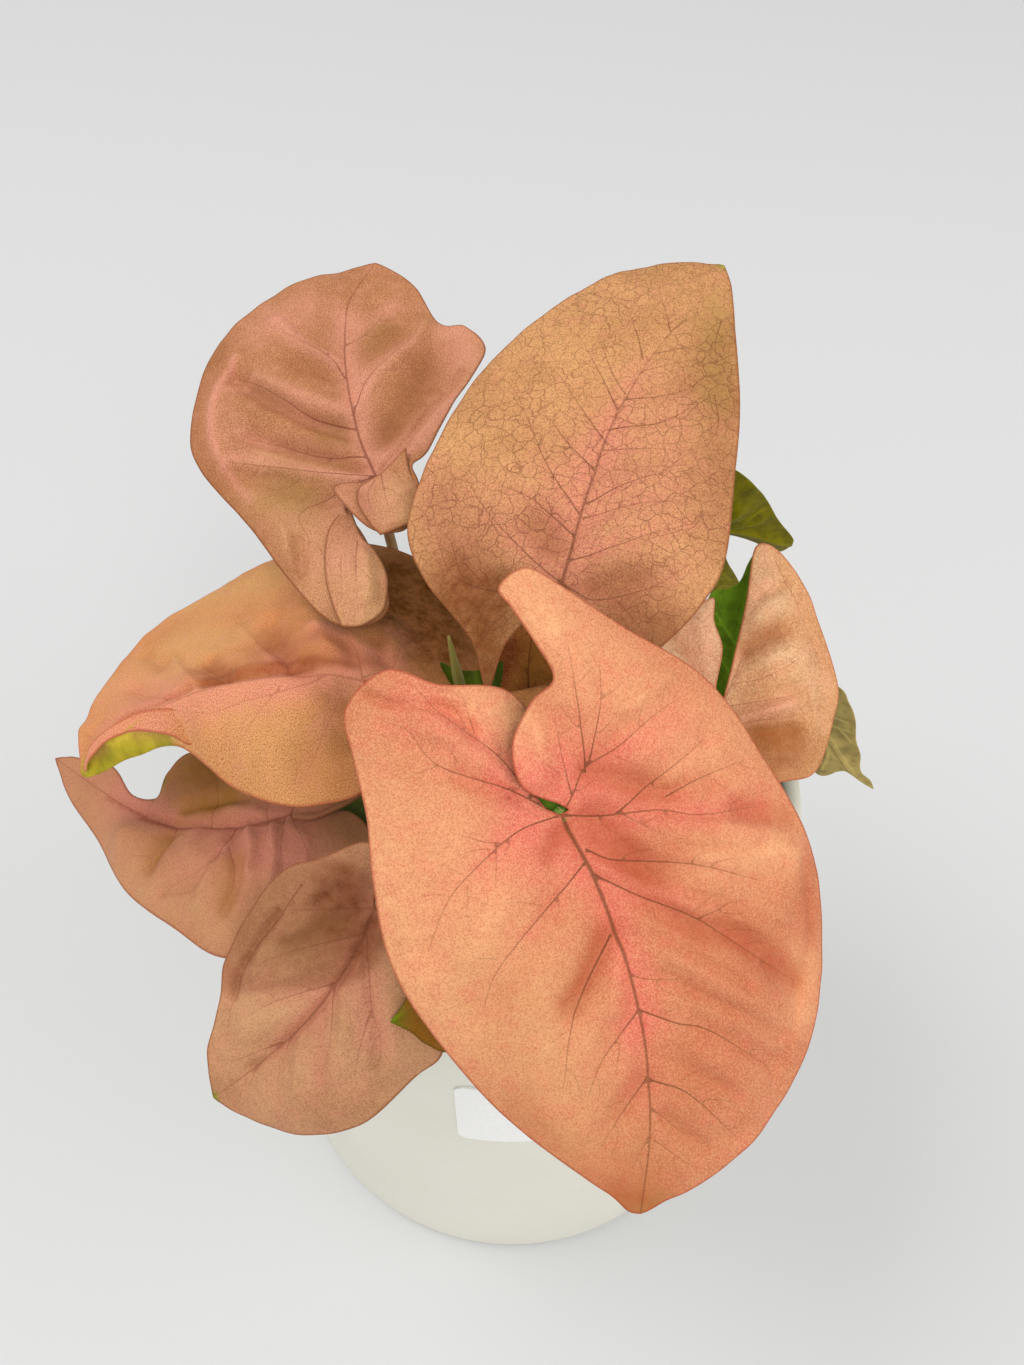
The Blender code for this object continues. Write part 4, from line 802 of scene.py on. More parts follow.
def inside(points, ring):
    """Which points lie inside the closed ring."""
    x, y = points[:, 0, None], points[:, 1, None]
    x0, y0 = ring[:, 0], ring[:, 1]
    x1, y1 = np.roll(x0, -1), np.roll(y0, -1)
    spans = (y0 > y) != (y1 > y)
    rise = np.where(y1 == y0, 1e-9, y1 - y0)
    crossing = x0 + (y - y0) * (x1 - x0) / rise
    return (spans & (x < crossing)).sum(1) % 2 == 1


def waves(points, seed, scale):
    """A smooth random height from -1 to 1, made of a few crossing waves."""
    draw = random.Random(seed)
    total = np.zeros(len(points))
    for order in range(6):
        way = draw.uniform(0, 2 * math.pi)
        length = scale * draw.uniform(0.6, 1.6)
        phase = draw.uniform(0, 2 * math.pi)
        along = points[:, 0] * math.cos(way) + points[:, 1] * math.sin(way)
        total += np.sin(2 * math.pi * along / length + phase)
    return total / 6


def band(points, line, width, power=2):
    """1 on the line and falling to 0 beyond the width, the more sharply the higher the power."""
    distance, _ = nearest(points, smooth_line(line, 0.5)[:, :2])
    return np.exp(-(distance / width) ** power)


class HalfBlade:
    """One half of a blade, or a whole flap: its points, its faces and the fields of its points."""

    def __init__(self, leaf, side, seed):
        margin = [leaf.midrib[0], *(leaf.left if side > 0 else leaf.right), leaf.midrib[-1]]
        self.leaf = leaf
        self.is_flap = not leaf.right
        self.rib = smooth_line(leaf.midrib, BLADE_STEP)
        self.edge = smooth_line(margin, BLADE_STEP)
        inner = [p for p in leaf.inner if self.is_flap or self.beside(p, side)]
        knots = [*smooth_line(leaf.midrib, KNOT_STEP), *smooth_line(margin, KNOT_STEP)[1:-1], *inner]
        self.height = thin_plate(np.array(knots, float))
        veins = [v for v in leaf.veins if self.is_flap or self.beside(v[len(v) // 2], side)]
        self.lines = [self.vein_line(v) for v in veins]
        if not self.is_flap:
            self.lines.insert(0, self.rib_line())
            self.lines += self.side_veins(side, seed)
        self.triangulate()
        self.measure(seed)

    def beside(self, point, side):
        """Whether the point lies on this side of the midrib."""
        rib = np.array(self.leaf.midrib, float)
        return (point[1] - np.interp(point[0], rib[:, 0], rib[:, 1])) * side > 0

    def rib_line(self):
        """The midrib, told as vein_line() tells a vein."""
        count = len(self.rib)
        dark = np.linspace(1.0, self.leaf.rib_end, count)
        widths = self.leaf.rib_width * np.linspace(*RIB_HALF_WIDTH, count)
        return self.rib[:, :2], widths, 1.0, dark

    def vein_line(self, vein):
        """The vein's points, its half width at each, how deep it lies and how dark it is at each."""
        line = smooth_line(vein, LINE_STEP)[:, :2]
        length = np.linalg.norm(np.diff(line, axis=0), axis=1).sum()
        size = min(1.0, VEIN_LEAST + length / VEIN_GROWTH)
        widths = np.linspace(size * VEIN_HALF_WIDTH[0], VEIN_HALF_WIDTH[1], len(line))
        return line, widths, size, size * np.linspace(*VEIN_INK, len(line))

    def side_veins(self, side, seed):
        """Fine veins that branch off the drawn ones and stop short of the next."""
        draw = random.Random(TWIG_SEED * seed + side)
        ring = np.concatenate([self.rib, self.edge[-2:0:-1]])[:, :2]
        taken = np.concatenate([line for line, _, _, _ in self.lines])
        grown = []
        for number, (line, _, _, dark) in enumerate(self.lines):
            at = draw.uniform(*TWIG_GAP)
            while at < TWIG_END * len(line) * LINE_STEP:
                start = min(int(at / LINE_STEP), len(line) - 2)
                hand = side if number == 0 else draw.choice((-1, 1))
                twig = self.twig(line, start, hand, draw, ring, taken)
                if len(twig) > TWIG_LEAST / BLADE_STEP:
                    ink = min(dark[start], TWIG_DARKEST) * np.linspace(*TWIG_INK, len(twig))
                    grown.append((twig, np.full(len(twig), TWIG_HALF_WIDTH), TWIG_DEPTH, ink))
                    taken = np.concatenate([taken, twig])
                at += draw.uniform(*TWIG_GAP)
        return grown

    def twig(self, line, start, hand, draw, ring, taken):
        """Points of a fine vein from a point of the line, until it meets another vein or the margin."""
        way = line[start + 1] - line[start]
        heading = math.atan2(way[1], way[0]) + hand * math.radians(draw.uniform(*TWIG_ANGLE))
        spot, points = line[start], []
        for number in range(round(draw.uniform(*TWIG_LENGTH) / BLADE_STEP)):
            heading -= hand * draw.uniform(*TWIG_BEND)
            spot = spot + LINE_STEP * np.array((math.cos(heading), math.sin(heading)))
            gap, _ = nearest(spot[None], taken)
            rim, _ = nearest(spot[None], ring)
            if not inside(spot[None], ring)[0] or rim[0] < TWIG_CLEAR:
                break
            if len(points) > 3 and gap[0] < TWIG_CLEAR:
                break
            if number * LINE_STEP >= TWIG_START:
                points.append(spot)
        return np.array(points)

    def triangulate(self):
        """Joins the outline and the points inside it to triangles. The points of the midrib come first."""
        outline = np.concatenate([self.rib, self.edge[-2:0:-1]])
        ring = outline[:, :2]
        flat = [Vector(p) for p in np.concatenate([ring, self.free_points(ring)])]
        verts, _, faces, origins, _, _ = delaunay_2d_cdt(flat, [], [list(range(len(ring)))], 1, MERGE_GAP)
        place = {sources[0]: i for i, sources in enumerate(origins) if sources}
        points = np.array([[v.x, v.y] for v in verts])
        z = self.height(points)
        for source in range(len(ring)):
            z[place[source]] = outline[source, 2]
        order = [place[i] for i in range(len(ring))]
        known = set(order)
        order += [i for i in range(len(points)) if i not in known]
        new = {old: i for i, old in enumerate(order)}
        self.faces = [tuple(new[i] for i in face) for face in faces]
        self.points = np.column_stack([points, z])[order]
        self.ribs = len(self.rib)

    def free_points(self, ring):
        """Points inside the ring: those along the veins, and an even grid that keeps clear of them."""
        xs = np.arange(ring[:, 0].min(), ring[:, 0].max(), BLADE_STEP)
        ys = np.arange(ring[:, 1].min(), ring[:, 1].max(), ROW_STEP)
        grid = np.array([(x + 0.5 * BLADE_STEP * (row % 2), y) for row, y in enumerate(ys) for x in xs])
        grid = self.keep(grid, ring, GRID_CLEAR)
        on_veins = [line for line, _, _, _ in self.lines[0 if self.is_flap else 1:]]
        if not on_veins:
            return grid
        on_veins = self.keep(np.concatenate(on_veins), ring, VEIN_CLEAR)
        chosen = thinned(on_veins, VEIN_GAP * BLADE_STEP)
        gap, _ = nearest(grid, chosen)
        return np.concatenate([chosen, grid[gap > GRID_GAP * BLADE_STEP]])

    @staticmethod
    def keep(points, ring, share):
        """The points inside the ring and no nearer to it than the share of a step."""
        points = points[inside(points, ring)]
        gap, _ = nearest(points, ring)
        return points[gap > share * BLADE_STEP]

    def measure(self, seed):
        """Works out the fields of the half's points and lays the relief on them."""
        flat = self.points[:, :2]
        self.follow_lines(flat)
        edge = np.concatenate([self.edge, self.rib]) if self.is_flap else self.edge
        self.rim, _ = nearest(flat, edge[:, :2])
        from_rib, _ = nearest(flat, self.rib[:, :2])
        self.crease = np.zeros(len(flat))
        for line, width, height in self.leaf.folds:
            self.crease += height * band(flat, line, width) * np.clip(self.rim / FOLD_FADE, 0, 1)
        self.points[:, 2] += self.relief(flat, from_rib, seed)
        ridge = np.exp(-(from_rib / RIB_REACH) ** 2) * np.interp(flat[:, 0], *RIB_FADE)
        ridge = ridge * (not self.is_flap)
        self.ridge = ridge + VEIN_RIDGE * self.groove * (ridge < 0.2)

    def follow_lines(self, flat):
        """The fields of the veins: how near, how dark and how deep, and how far from a main one."""
        self.closest = np.full(len(flat), FAR)
        self.vein = np.full(len(flat), VEIN_FAR)
        self.ink = np.zeros(len(flat))
        self.groove = np.zeros(len(flat))
        for line, widths, depth, dark in self.lines:
            distance, which = nearest(flat, line)
            share = distance / widths[which]
            self.ink = np.where(share < self.vein, dark[which], self.ink)
            self.vein = np.minimum(self.vein, share)
            if depth > MAIN_VEIN:
                self.closest = np.minimum(self.closest, distance)
            self.groove = np.maximum(self.groove, depth * np.exp(-(distance / GROOVE_WIDTH) ** 2))
        self.ink *= self.leaf.ink

    def relief(self, flat, from_rib, seed):
        """How far each point stands out: pillows between the veins, grooves, folds and waves."""
        leaf = self.leaf
        fade = np.clip(self.rim / RIM_REACH, 0, 1)
        lift = leaf.pillow * (1 - np.exp(-(self.closest / PILLOW_REACH) ** 2)) * (0.3 + 0.7 * fade)
        if self.is_flap:
            lift *= FLAP_PILLOW
        lift -= GROOVE_DEPTH * self.groove
        lift += FOLD_GAIN * leaf.relief * self.crease
        shore = np.exp(-(self.rim / RIM_REACH) ** 2) * np.clip(from_rib / RIM_REACH, 0, 1)
        lift += leaf.wave * shore * waves(flat, seed, WAVE_LENGTH)
        return lift + RIPPLE * waves(flat, seed + 1, RIPPLE_LENGTH) * np.clip(from_rib / 2, 0, 1)


def thinned(points, gap):
    """The points without those that repeat an earlier one closer than the gap."""
    kept, cells = [], set()
    for p in points:
        cell = (round(p[0] / gap), round(p[1] / gap))
        if cell not in cells:
            cells.add(cell)
            kept.append(p)
    return np.array(kept)


def facing_up(points, faces):
    """The faces, each turned so that it looks along +z."""
    faces = np.array(faces)
    a, b, c = (points[faces[:, i], :2] for i in range(3))
    up = (b[:, 0] - a[:, 0]) * (c[:, 1] - a[:, 1]) - (b[:, 1] - a[:, 1]) * (c[:, 0] - a[:, 0]) > 0
    return np.where(up[:, None], faces, faces[:, [0, 2, 1]])


FIELDS = ("vein", "rim", "ridge", "ink", "closest", "crease")


def upper_face(leaf, seed):
    """The upper face of a sheet, its two halves joined along the midrib, with the fields of its points."""
    left = HalfBlade(leaf, 1, seed)
    faces = facing_up(left.points, left.faces)
    if left.is_flap:
        return left.points, faces, {key: getattr(left, key) for key in FIELDS}
    right = HalfBlade(leaf, -1, seed + RIGHT_SEED)
    ribs = left.ribs
    shift = np.arange(len(right.points)) - ribs + len(left.points)
    shift[:ribs] = np.arange(ribs)
    points = np.concatenate([left.points, right.points[ribs:]])
    faces = np.concatenate([faces, shift[facing_up(right.points, right.faces)]])
    fields = {key: np.concatenate([getattr(left, key), getattr(right, key)[ribs:]]) for key in FIELDS}
    used = np.unique(faces)
    new = np.full(len(points), -1)
    new[used] = np.arange(len(used))
    return points[used], new[faces], {key: field[used] for key, field in fields.items()}


def point_normals(points, faces):
    """The direction that the surface faces at each point."""
    normals = np.zeros_like(points)
    cross = np.cross(points[faces[:, 1]] - points[faces[:, 0]], points[faces[:, 2]] - points[faces[:, 0]])
    for corner in range(3):
        np.add.at(normals, faces[:, corner], cross)
    return normals / np.linalg.norm(normals, axis=1)[:, None]


def boundary(faces):
    """The directed edges that only one face uses."""
    edges = {(int(f[i]), int(f[(i + 1) % 3])) for f in faces for i in range(3)}
    return sorted((a, b) for a, b in edges if (b, a) not in edges)


def tints(sheet, flat, closest, crease):
    """How pink, light, green, deep and olive each point is."""
    columns = []
    for patches in sheet.tints:
        column = np.zeros(len(flat))
        for line, reach, amount, *power in patches:
            column += amount * band(flat, line, reach, *power)
        columns.append(column)
    from_foot = np.hypot(flat[:, 0], flat[:, 1])
    columns[0] += BLUSH * np.exp(-(closest / BLUSH_WIDTH) ** 2 - (from_foot / BLUSH_REACH) ** 2)
    # Painted highlight on the ridges of the folds and painted shade in their valleys
    columns[1] += CREASE_PAINTED_HIGHLIGHT * np.clip(crease, 0, 1)
    columns[3] += CREASE_PAINTED_SHADE * np.clip(-crease, 0, 1)
    return np.clip(np.column_stack(columns), 0, 1)


def set_field(mesh, name, values):
    """Stores one number or three for each point, for the material to read."""
    values = np.asarray(values, float)
    if values.ndim == 1:
        mesh.attributes.new(name, "FLOAT", "POINT").data.foreach_set("value", values.astype(np.float32))
    else:
        field = mesh.attributes.new(name, "FLOAT_VECTOR", "POINT")
        field.data.foreach_set("vector", values.astype(np.float32).ravel())


def add_piece(name, points, faces, finish, replaces, smooth=True):
    """A mesh from points in millimetres, riding on the frame in place of a node."""
    mesh = bpy.data.meshes.new(name)
    places = (np.asarray(points, float) * MM).tolist()
    mesh.from_pydata(places, [], [tuple(int(i) for i in face) for face in faces])
    mesh.validate()
    mesh.materials.append(finish)
    if smooth:
        mesh.shade_smooth()
    piece = bpy.data.objects.new(name, mesh)
    bpy.context.scene.collection.objects.link(piece)
    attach(piece, "root")
    if replaces:
        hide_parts(replaces)
    return piece


def closed(faces, count):
    """The faces of an upper side, and the same turned over for the under side, count points further on."""
    return [tuple(f) for f in faces] + [(c + count, b + count, a + count) for a, b, c in faces]


def rim_strip(top, under, normals, faces):
    """The rounded margin between two sides: its own points, the points that they lie between, its faces."""
    edges = boundary(faces)
    beside = sorted({a for a, _ in edges})
    number = {point: 2 * len(top) + i for i, point in enumerate(beside)}
    outward = np.zeros((len(beside), 3))
    strip = []
    for a, b in edges:
        am, bm = number[a], number[b]
        way = np.cross(top[b] - top[a], normals[a])
        outward[am - 2 * len(top)] += way
        outward[bm - 2 * len(top)] += way
        strip += [(b, a, am, bm), (bm, am, a + len(top), b + len(top))]
    outward /= np.linalg.norm(outward, axis=1)[:, None] + 1e-9
    middle = 0.5 * (top[beside] + under[beside]) + MARGIN_BULGE * outward
    return middle, beside, strip


def solid_sheet(sheet, seed):
    """A thin closed sheet with a rounded margin: its points, faces and fields."""
    top, faces, fields = upper_face(sheet, seed)
    normals = point_normals(top, faces)
    spread = np.clip(fields["rim"] / MARGIN_REACH, 0, 1)
    extra = BLADE_THICKNESS - MARGIN_THICKNESS + RIB_RIDGE * fields["ridge"]
    under = top - (MARGIN_THICKNESS + spread * extra)[:, None] * normals
    middle, beside, strip = rim_strip(top, under, normals, faces)
    count, rims = len(top), len(beside)
    flat = np.column_stack([top[:, :2], np.full(count, NOISE_GAP * seed)])
    tint = tints(sheet, top[:, :2], fields["closest"], fields["crease"])

    def whole(values, at_rim=None):
        """The values of the upper side, of the under side and of the rim."""
        return np.concatenate([values, values, values[beside] if at_rim is None else np.full(rims, at_rim)])

    table = {
        "flat": whole(flat),
        "tint": whole(tint[:, :3]),
        "shade": whole(np.column_stack([tint[:, 3:], fields["ink"]])),
        "vein": whole(fields["vein"], VEIN_FAR),
        "rim": whole(fields["rim"], 0.0),
        "under": np.concatenate([np.zeros(count), np.ones(count), np.full(rims, 0.4)]),
    }
    return np.concatenate([top, under, middle]), closed(faces, count) + strip, table


def add_blade(name, leaf, seed):
    """A blade with its flaps, in place of the node of the same name."""
    points, faces, tables = [], [], []
    for number, sheet in enumerate((leaf, *leaf.flaps)):
        start = sum(len(p) for p in points)
        some, solid, table = solid_sheet(sheet, seed + FLAP_SEED * number)
        points.append(some)
        faces += [tuple(start + i for i in face) for face in solid]
        tables.append(table)
    turn = np.array(leaf.matrix())
    world = np.concatenate(points) @ turn[:3, :3].T + turn[:3, 3]
    finish = leaf_material(name, LOOKS[name])
    piece = add_piece(name.replace("blade", "leaf"), world, faces, finish, name)
    for key in tables[0]:
        set_field(piece.data, key, np.concatenate([table[key] for table in tables]))


def linear(colour):
    """A colour out of 255 as the linear values that a shader takes."""
    shares = [c / 255 for c in colour]
    return (*[c / 12.92 if c <= 0.04045 else ((c + 0.055) / 1.055) ** 2.4 for c in shares], 1.0)


class Nodes:
    """A material's node tree, with short ways to add to it. A colour is a socket or is out of 255."""

    def __init__(self, name, roughness=0.5, specular=0.5):
        self.material = bpy.data.materials.new(name)
        self.material.use_nodes = True
        self.tree = self.material.node_tree
        self.shader = self.tree.nodes["Principled BSDF"]
        self.shader.inputs["Roughness"].default_value = roughness
        self.shader.inputs["Specular IOR Level"].default_value = specular

    def put(self, socket, value):
        """Links the value to the socket if it comes from a node, or sets it."""
        if isinstance(value, bpy.types.NodeSocket):
            self.tree.links.new(value, socket)
        else:
            socket.default_value = value

    def paint(self, socket, colour):
        """The same with a colour."""
        self.put(socket, colour if isinstance(colour, bpy.types.NodeSocket) else linear(colour))

    def field(self, name, output="Fac"):
        """A field of the mesh, as a number or as a vector."""
        node = self.tree.nodes.new("ShaderNodeAttribute")
        node.attribute_name = name
        return node.outputs[output]

    def split(self, vector):
        """The three numbers of a vector."""
        node = self.tree.nodes.new("ShaderNodeSeparateXYZ")
        self.put(node.inputs[0], vector)
        return node.outputs

    def noise(self, vector, scale, detail=2.0, rough=0.5, output="Fac"):
        """Clouds, about scale of them to the millimetre."""
        node = self.tree.nodes.new("ShaderNodeTexNoise")
        self.put(node.inputs["Vector"], vector)
        node.inputs["Scale"].default_value = scale
        node.inputs["Detail"].default_value = detail
        node.inputs["Roughness"].default_value = rough
        return node.outputs[output]

    def net(self, vector, scale, width, share):
        """A net of cells: the share on its lines, falling to 0 at the width from them."""
        node = self.tree.nodes.new("ShaderNodeTexVoronoi")
        node.feature = "DISTANCE_TO_EDGE"
        self.put(node.inputs["Vector"], vector)
        node.inputs["Scale"].default_value = scale
        return self.ramp(node.outputs["Distance"], 0.0, width, share, 0.0)

    def times(self, a, b, kind="MULTIPLY"):
        """The one value times the other, or another kind of sum."""
        node = self.tree.nodes.new("ShaderNodeMath")
        node.operation = kind
        self.put(node.inputs[0], a)
        self.put(node.inputs[1], b)
        return node.outputs[0]

    def plus(self, a, b):
        """The two values added."""
        return self.times(a, b, "ADD")

    def ramp(self, value, low, high, start=0.0, end=1.0):
        """start where the value is low and end where it is high, smoothly in between."""
        node = self.tree.nodes.new("ShaderNodeMapRange")
        node.interpolation_type = "SMOOTHSTEP"
        self.put(node.inputs["Value"], value)
        for key, number in (("From Min", low), ("From Max", high), ("To Min", start), ("To Max", end)):
            node.inputs[key].default_value = number
        return node.outputs["Result"]

    def layers(self, colour, *coats):
        """The colour under coats of other colours. Each coat is its share and its colour."""
        for share, coat in coats:
            node = self.tree.nodes.new("ShaderNodeMix")
            node.data_type = "RGBA"
            self.put(node.inputs["Factor"], share)
            self.paint(node.inputs[6], colour)
            self.paint(node.inputs[7], coat)
            colour = node.outputs[2]
        return colour

    def warp(self, vector, scale, amount):
        """The vector moved about by a noise."""
        shift = self.noise(vector, scale, 1.0, output="Color")
        centre = self.tree.nodes.new("ShaderNodeVectorMath")
        centre.operation = "SUBTRACT"
        self.put(centre.inputs[0], shift)
        centre.inputs[1].default_value = (0.5, 0.5, 0.5)
        moved = self.tree.nodes.new("ShaderNodeVectorMath")
        moved.operation = "MULTIPLY_ADD"
        self.put(moved.inputs[0], centre.outputs[0])
        moved.inputs[1].default_value = (amount, amount, amount)
        self.put(moved.inputs[2], vector)
        return moved.outputs[0]

    def bump(self, height, distance, strength):
        """Small relief, its height in millimetres."""
        node = self.tree.nodes.new("ShaderNodeBump")
        self.put(node.inputs["Height"], height)
        node.inputs["Distance"].default_value = distance * MM
        node.inputs["Strength"].default_value = strength
        self.put(self.shader.inputs["Normal"], node.outputs[0])

    def finish(self, colour, roughness=None):
        """The material, once its shader has the colour and, at times, a roughness that varies."""
        self.paint(self.shader.inputs["Base Color"], colour)
        if roughness is not None:
            self.put(self.shader.inputs["Roughness"], roughness)
        return self.material


def leaf_ground(nodes, look, flat, cloud, grain, tint, shade):
    """A blade's upper face without veins: a mottled ground, tint patches with painted shade and light,
    grain.
    """
    thick = nodes.ramp(cloud, 0.3, 0.7, 0.72, 1.12)
    thin = nodes.ramp(cloud, 0.3, 0.7, 1.12, 0.72)
    even = nodes.ramp(cloud, 0.3, 0.7, 0.95, 0.7)
    return nodes.layers(
        look.main,
        (nodes.ramp(nodes.noise(flat, 0.12, 4.0, 0.6), 0.38, 0.66, 0.0, 0.3), look.deep),
        # The light patches: the blade's paler tone, with painted light on some lobes and on the ridges of
        # the folds
        (nodes.times(tint[1], thick), look.light),
        (nodes.times(tint[0], thin), look.pink),
        (nodes.ramp(nodes.noise(flat, 0.4, 4.0), 0.45, 0.75, 0.0, 0.35), look.pink),
        (nodes.ramp(grain, 0.5, 0.64, 0.0, look.speck), look.light),
        (nodes.ramp(grain, 0.36, 0.5, look.speck, 0.0), look.deep),
        # Painted shade from the deep patches and the fold valleys, then the olive patches, some of them
        # painted shade too
        (nodes.times(shade[0], even), look.deep),
        (nodes.times(shade[1], nodes.times(thick, 0.9)), look.olive))


def leaf_underside(nodes, look, flat, vein):
    """A blade's under face: green in two tones, paler along the veins."""
    return nodes.layers(
        look.under,
        (nodes.ramp(nodes.noise(flat, 0.5, 3.0), 0.35, 0.7), [0.82 * c for c in look.under]),
        (nodes.ramp(vein, 0.8, 6.0, 0.45, 0.0), [min(255, 1.2 * c + 12) for c in look.under]))


def leaf_material(name, look):
    """A blade: its ground with a net, veins and a margin above, and another colour below."""
    nodes = Nodes(name, LEAF_ROUGHNESS[0], 0.1)
    flat = nodes.field("flat", "Vector")
    tint = nodes.split(nodes.field("tint", "Vector"))
    shade = nodes.split(nodes.field("shade", "Vector"))
    vein = nodes.field("vein")
    cloud = nodes.noise(flat, 0.55, 5.0, 0.65)
    grain = nodes.noise(flat, 5.4, 1.0)
    dense = nodes.ramp(nodes.noise(flat, 0.13), 0.35, 0.65, 0.35, 1.1)
    lines = nodes.net(nodes.warp(flat, 0.4, 2.0), 0.42, 0.045, 0.85 * look.net)
    threads = nodes.net(nodes.warp(flat, 0.8, 1.0), 0.95, 0.06, 0.3 * look.net)
    drawn = nodes.times(nodes.ramp(vein, 0.35, 1.9, 1.0, 0.0), shade[2])
    below = leaf_underside(nodes, look, flat, vein)
    colour = nodes.layers(
        leaf_ground(nodes, look, flat, cloud, grain, tint, shade),
        (nodes.times(threads, dense), look.vein),
        (nodes.times(lines, dense), look.vein),
        (drawn, look.vein),
        (nodes.ramp(nodes.field("rim"), 0.0, 0.4, 0.7, 0.0), look.margin),
        (tint[2], below),
        (nodes.ramp(nodes.field("under"), 0.3, 0.6), below))
    dips = nodes.times(nodes.plus(lines, drawn), -0.6)
    rise = nodes.plus(nodes.times(grain, 0.35), nodes.times(cloud, 1.6))
    nodes.bump(nodes.plus(rise, dips), 0.22, 0.8)
    sheen = nodes.ramp(nodes.noise(flat, 1.2, 3.0), 0.3, 0.7, *LEAF_ROUGHNESS)
    return nodes.finish(colour, sheen)


def pot_material():
    """Off-white satin plastic with the faintest unevenness."""
    nodes = Nodes("pot", 0.4, 0.5)
    place = nodes.field("place", "Vector")
    main, other = POT_COLOURS
    nodes.bump(nodes.noise(place, 1.6), 0.05, 0.12)
    return nodes.finish(nodes.layers(main, (nodes.ramp(nodes.noise(place, 0.03, 3.0), 0.3, 0.7), other)),
                        nodes.ramp(nodes.noise(place, 0.3, 3.0), 0.3, 0.7, 0.36, 0.46))


def soil_material(name, dark, pale, rough):
    """Crumbly peat, or bark and perlite with other colours."""
    nodes = Nodes(name, rough, 0.25)
    place = nodes.field("place", "Vector")
    shade = nodes.ramp(nodes.noise(place, 0.6, 4.0, 0.65), 0.3, 0.72)
    nodes.bump(nodes.noise(place, 1.8, 4.0, 0.7), 0.4, 0.8)
    return nodes.finish(nodes.layers(dark, (shade, pale)), nodes.ramp(shade, 0.2, 0.9, rough, rough - 0.12))


def petiole_material():
    """Green at the foot, brown-pink towards the blade, with fine lengthwise streaks and brown spots."""
    nodes = Nodes("petiole", 0.42, 0.4)
    along = nodes.field("along", "Vector")
    streaks = nodes.noise(along, 3.0, 3.0)
    spots = nodes.noise(nodes.field("place", "Vector"), 0.8, 3.0)
    foot, top, streak, spot = PETIOLE_COLOURS
    nodes.bump(streaks, 0.1, 0.4)
    return nodes.finish(nodes.layers(
        foot,
        (nodes.ramp(nodes.split(along)[2], 0.35, 0.95), top),
        (nodes.ramp(streaks, 0.45, 0.75, 0.0, 0.6), streak),
        (nodes.ramp(spots, 0.5, 0.8, 0.0, 0.5), spot)))


def new_leaf_material():
    """Olive green, paler towards the tip, with lengthwise streaks."""
    nodes = Nodes("new_leaf", 0.42, 0.4)
    along = nodes.field("along", "Vector")
    streaks = nodes.noise(along, 3.0)
    foot, top, streak = NEW_LEAF_COLOURS
    nodes.bump(streaks, 0.08, 0.4)
    return nodes.finish(nodes.layers(
        foot,
        (nodes.ramp(nodes.split(along)[2], 0.1, 1.0), top),
        (nodes.ramp(streaks, 0.4, 0.7, 0.0, 0.5), streak)))


def sticker_material():
    """White paper with a trace of fibres."""
    nodes = Nodes("sticker", 0.4, 0.4)
    fibres = nodes.noise(nodes.field("place", "Vector"), 1.5, 3.0)
    main, other = STICKER_COLOURS
    nodes.bump(fibres, 0.03, 0.15)
    return nodes.finish(nodes.layers(main, (nodes.ramp(fibres, 0.3, 0.7), other)))


def ring_faces(first, rings, sides):
    """The faces between closed rings of points, which follow one another from the first point on."""
    faces = []
    for low in range(first, first + (rings - 1) * sides, sides):
        for step in range(sides):
            nxt = (step + 1) % sides
            faces.append((low + step, low + nxt, low + sides + nxt, low + sides + step))
    return faces


def lathe(profile, sides):
    """Points and faces of a solid turned round Z. The profile starts and ends on the axis."""
    points = [(0, 0, profile[0][1])]
    for radius, z in profile[1:-1]:
        for step in range(sides):
            angle = 2 * math.pi * step / sides
            points.append((radius * math.cos(angle), radius * math.sin(angle), z))
    points.append((0, 0, profile[-1][1]))
    rings = len(profile) - 2
    faces = ring_faces(1, rings, sides)
    last = 1 + (rings - 1) * sides
    for step in range(sides):
        nxt = (step + 1) % sides
        faces.append((0, 1 + nxt, 1 + step))
        faces.append((last + step, last + nxt, len(points) - 1))
    return np.array(points), faces


def arc(centre, radius, start, end, steps):
    """Points (radius, z) on a round of a profile, angles in degrees."""
    turns = [math.radians(start + (end - start) * i / steps) for i in range(steps + 1)]
    return [(centre[0] + radius * math.cos(t), centre[1] + radius * math.sin(t)) for t in turns]


def add_pot():
    """The pot's wall and floor, with rounds at the base and on the rim."""
    rim = POT_WALL / 2
    profile = [(0, 0), *[(r, 0) for r in POT_FLOOR_RINGS]]
    profile += arc((POT_RADIUS - POT_BASE_ROUND, POT_BASE_ROUND), POT_BASE_ROUND, -90, 0, 8)
    profile += [(POT_RADIUS, z) for z in POT_WALL_RINGS]
    profile += arc((POT_RADIUS - rim, POT_HEIGHT - rim), rim, 0, 180, 14)
    profile += [(POT_INSIDE, z) for z in POT_WALL_RINGS[:0:-1]]
    profile += arc((POT_INSIDE - POT_BASE_ROUND, POT_FLOOR + POT_BASE_ROUND), POT_BASE_ROUND, 0, -90, 5)
    profile += [*[(r, POT_FLOOR) for r in POT_FLOOR_RINGS[::-1]], (0, POT_FLOOR)]
    points, faces = lathe(profile, POT_SIDES)
    piece = add_piece("pot_body", points, faces, pot_material(), "pot")
    set_field(piece.data, "place", points)


def soil_height(x, y):
    """The top of the mix: a low mound with a lumpy surface."""
    at = np.column_stack([x, y])
    out = np.hypot(x, y) / POT_INSIDE
    height = SOIL_TOP - SOIL_DIP + SOIL_MOUND * np.clip(1 - out ** 2, 0, 1)
    for number, (size, length) in enumerate(SOIL_LUMPS):
        height = height + size * waves(at, SEED + number, length)
    return height


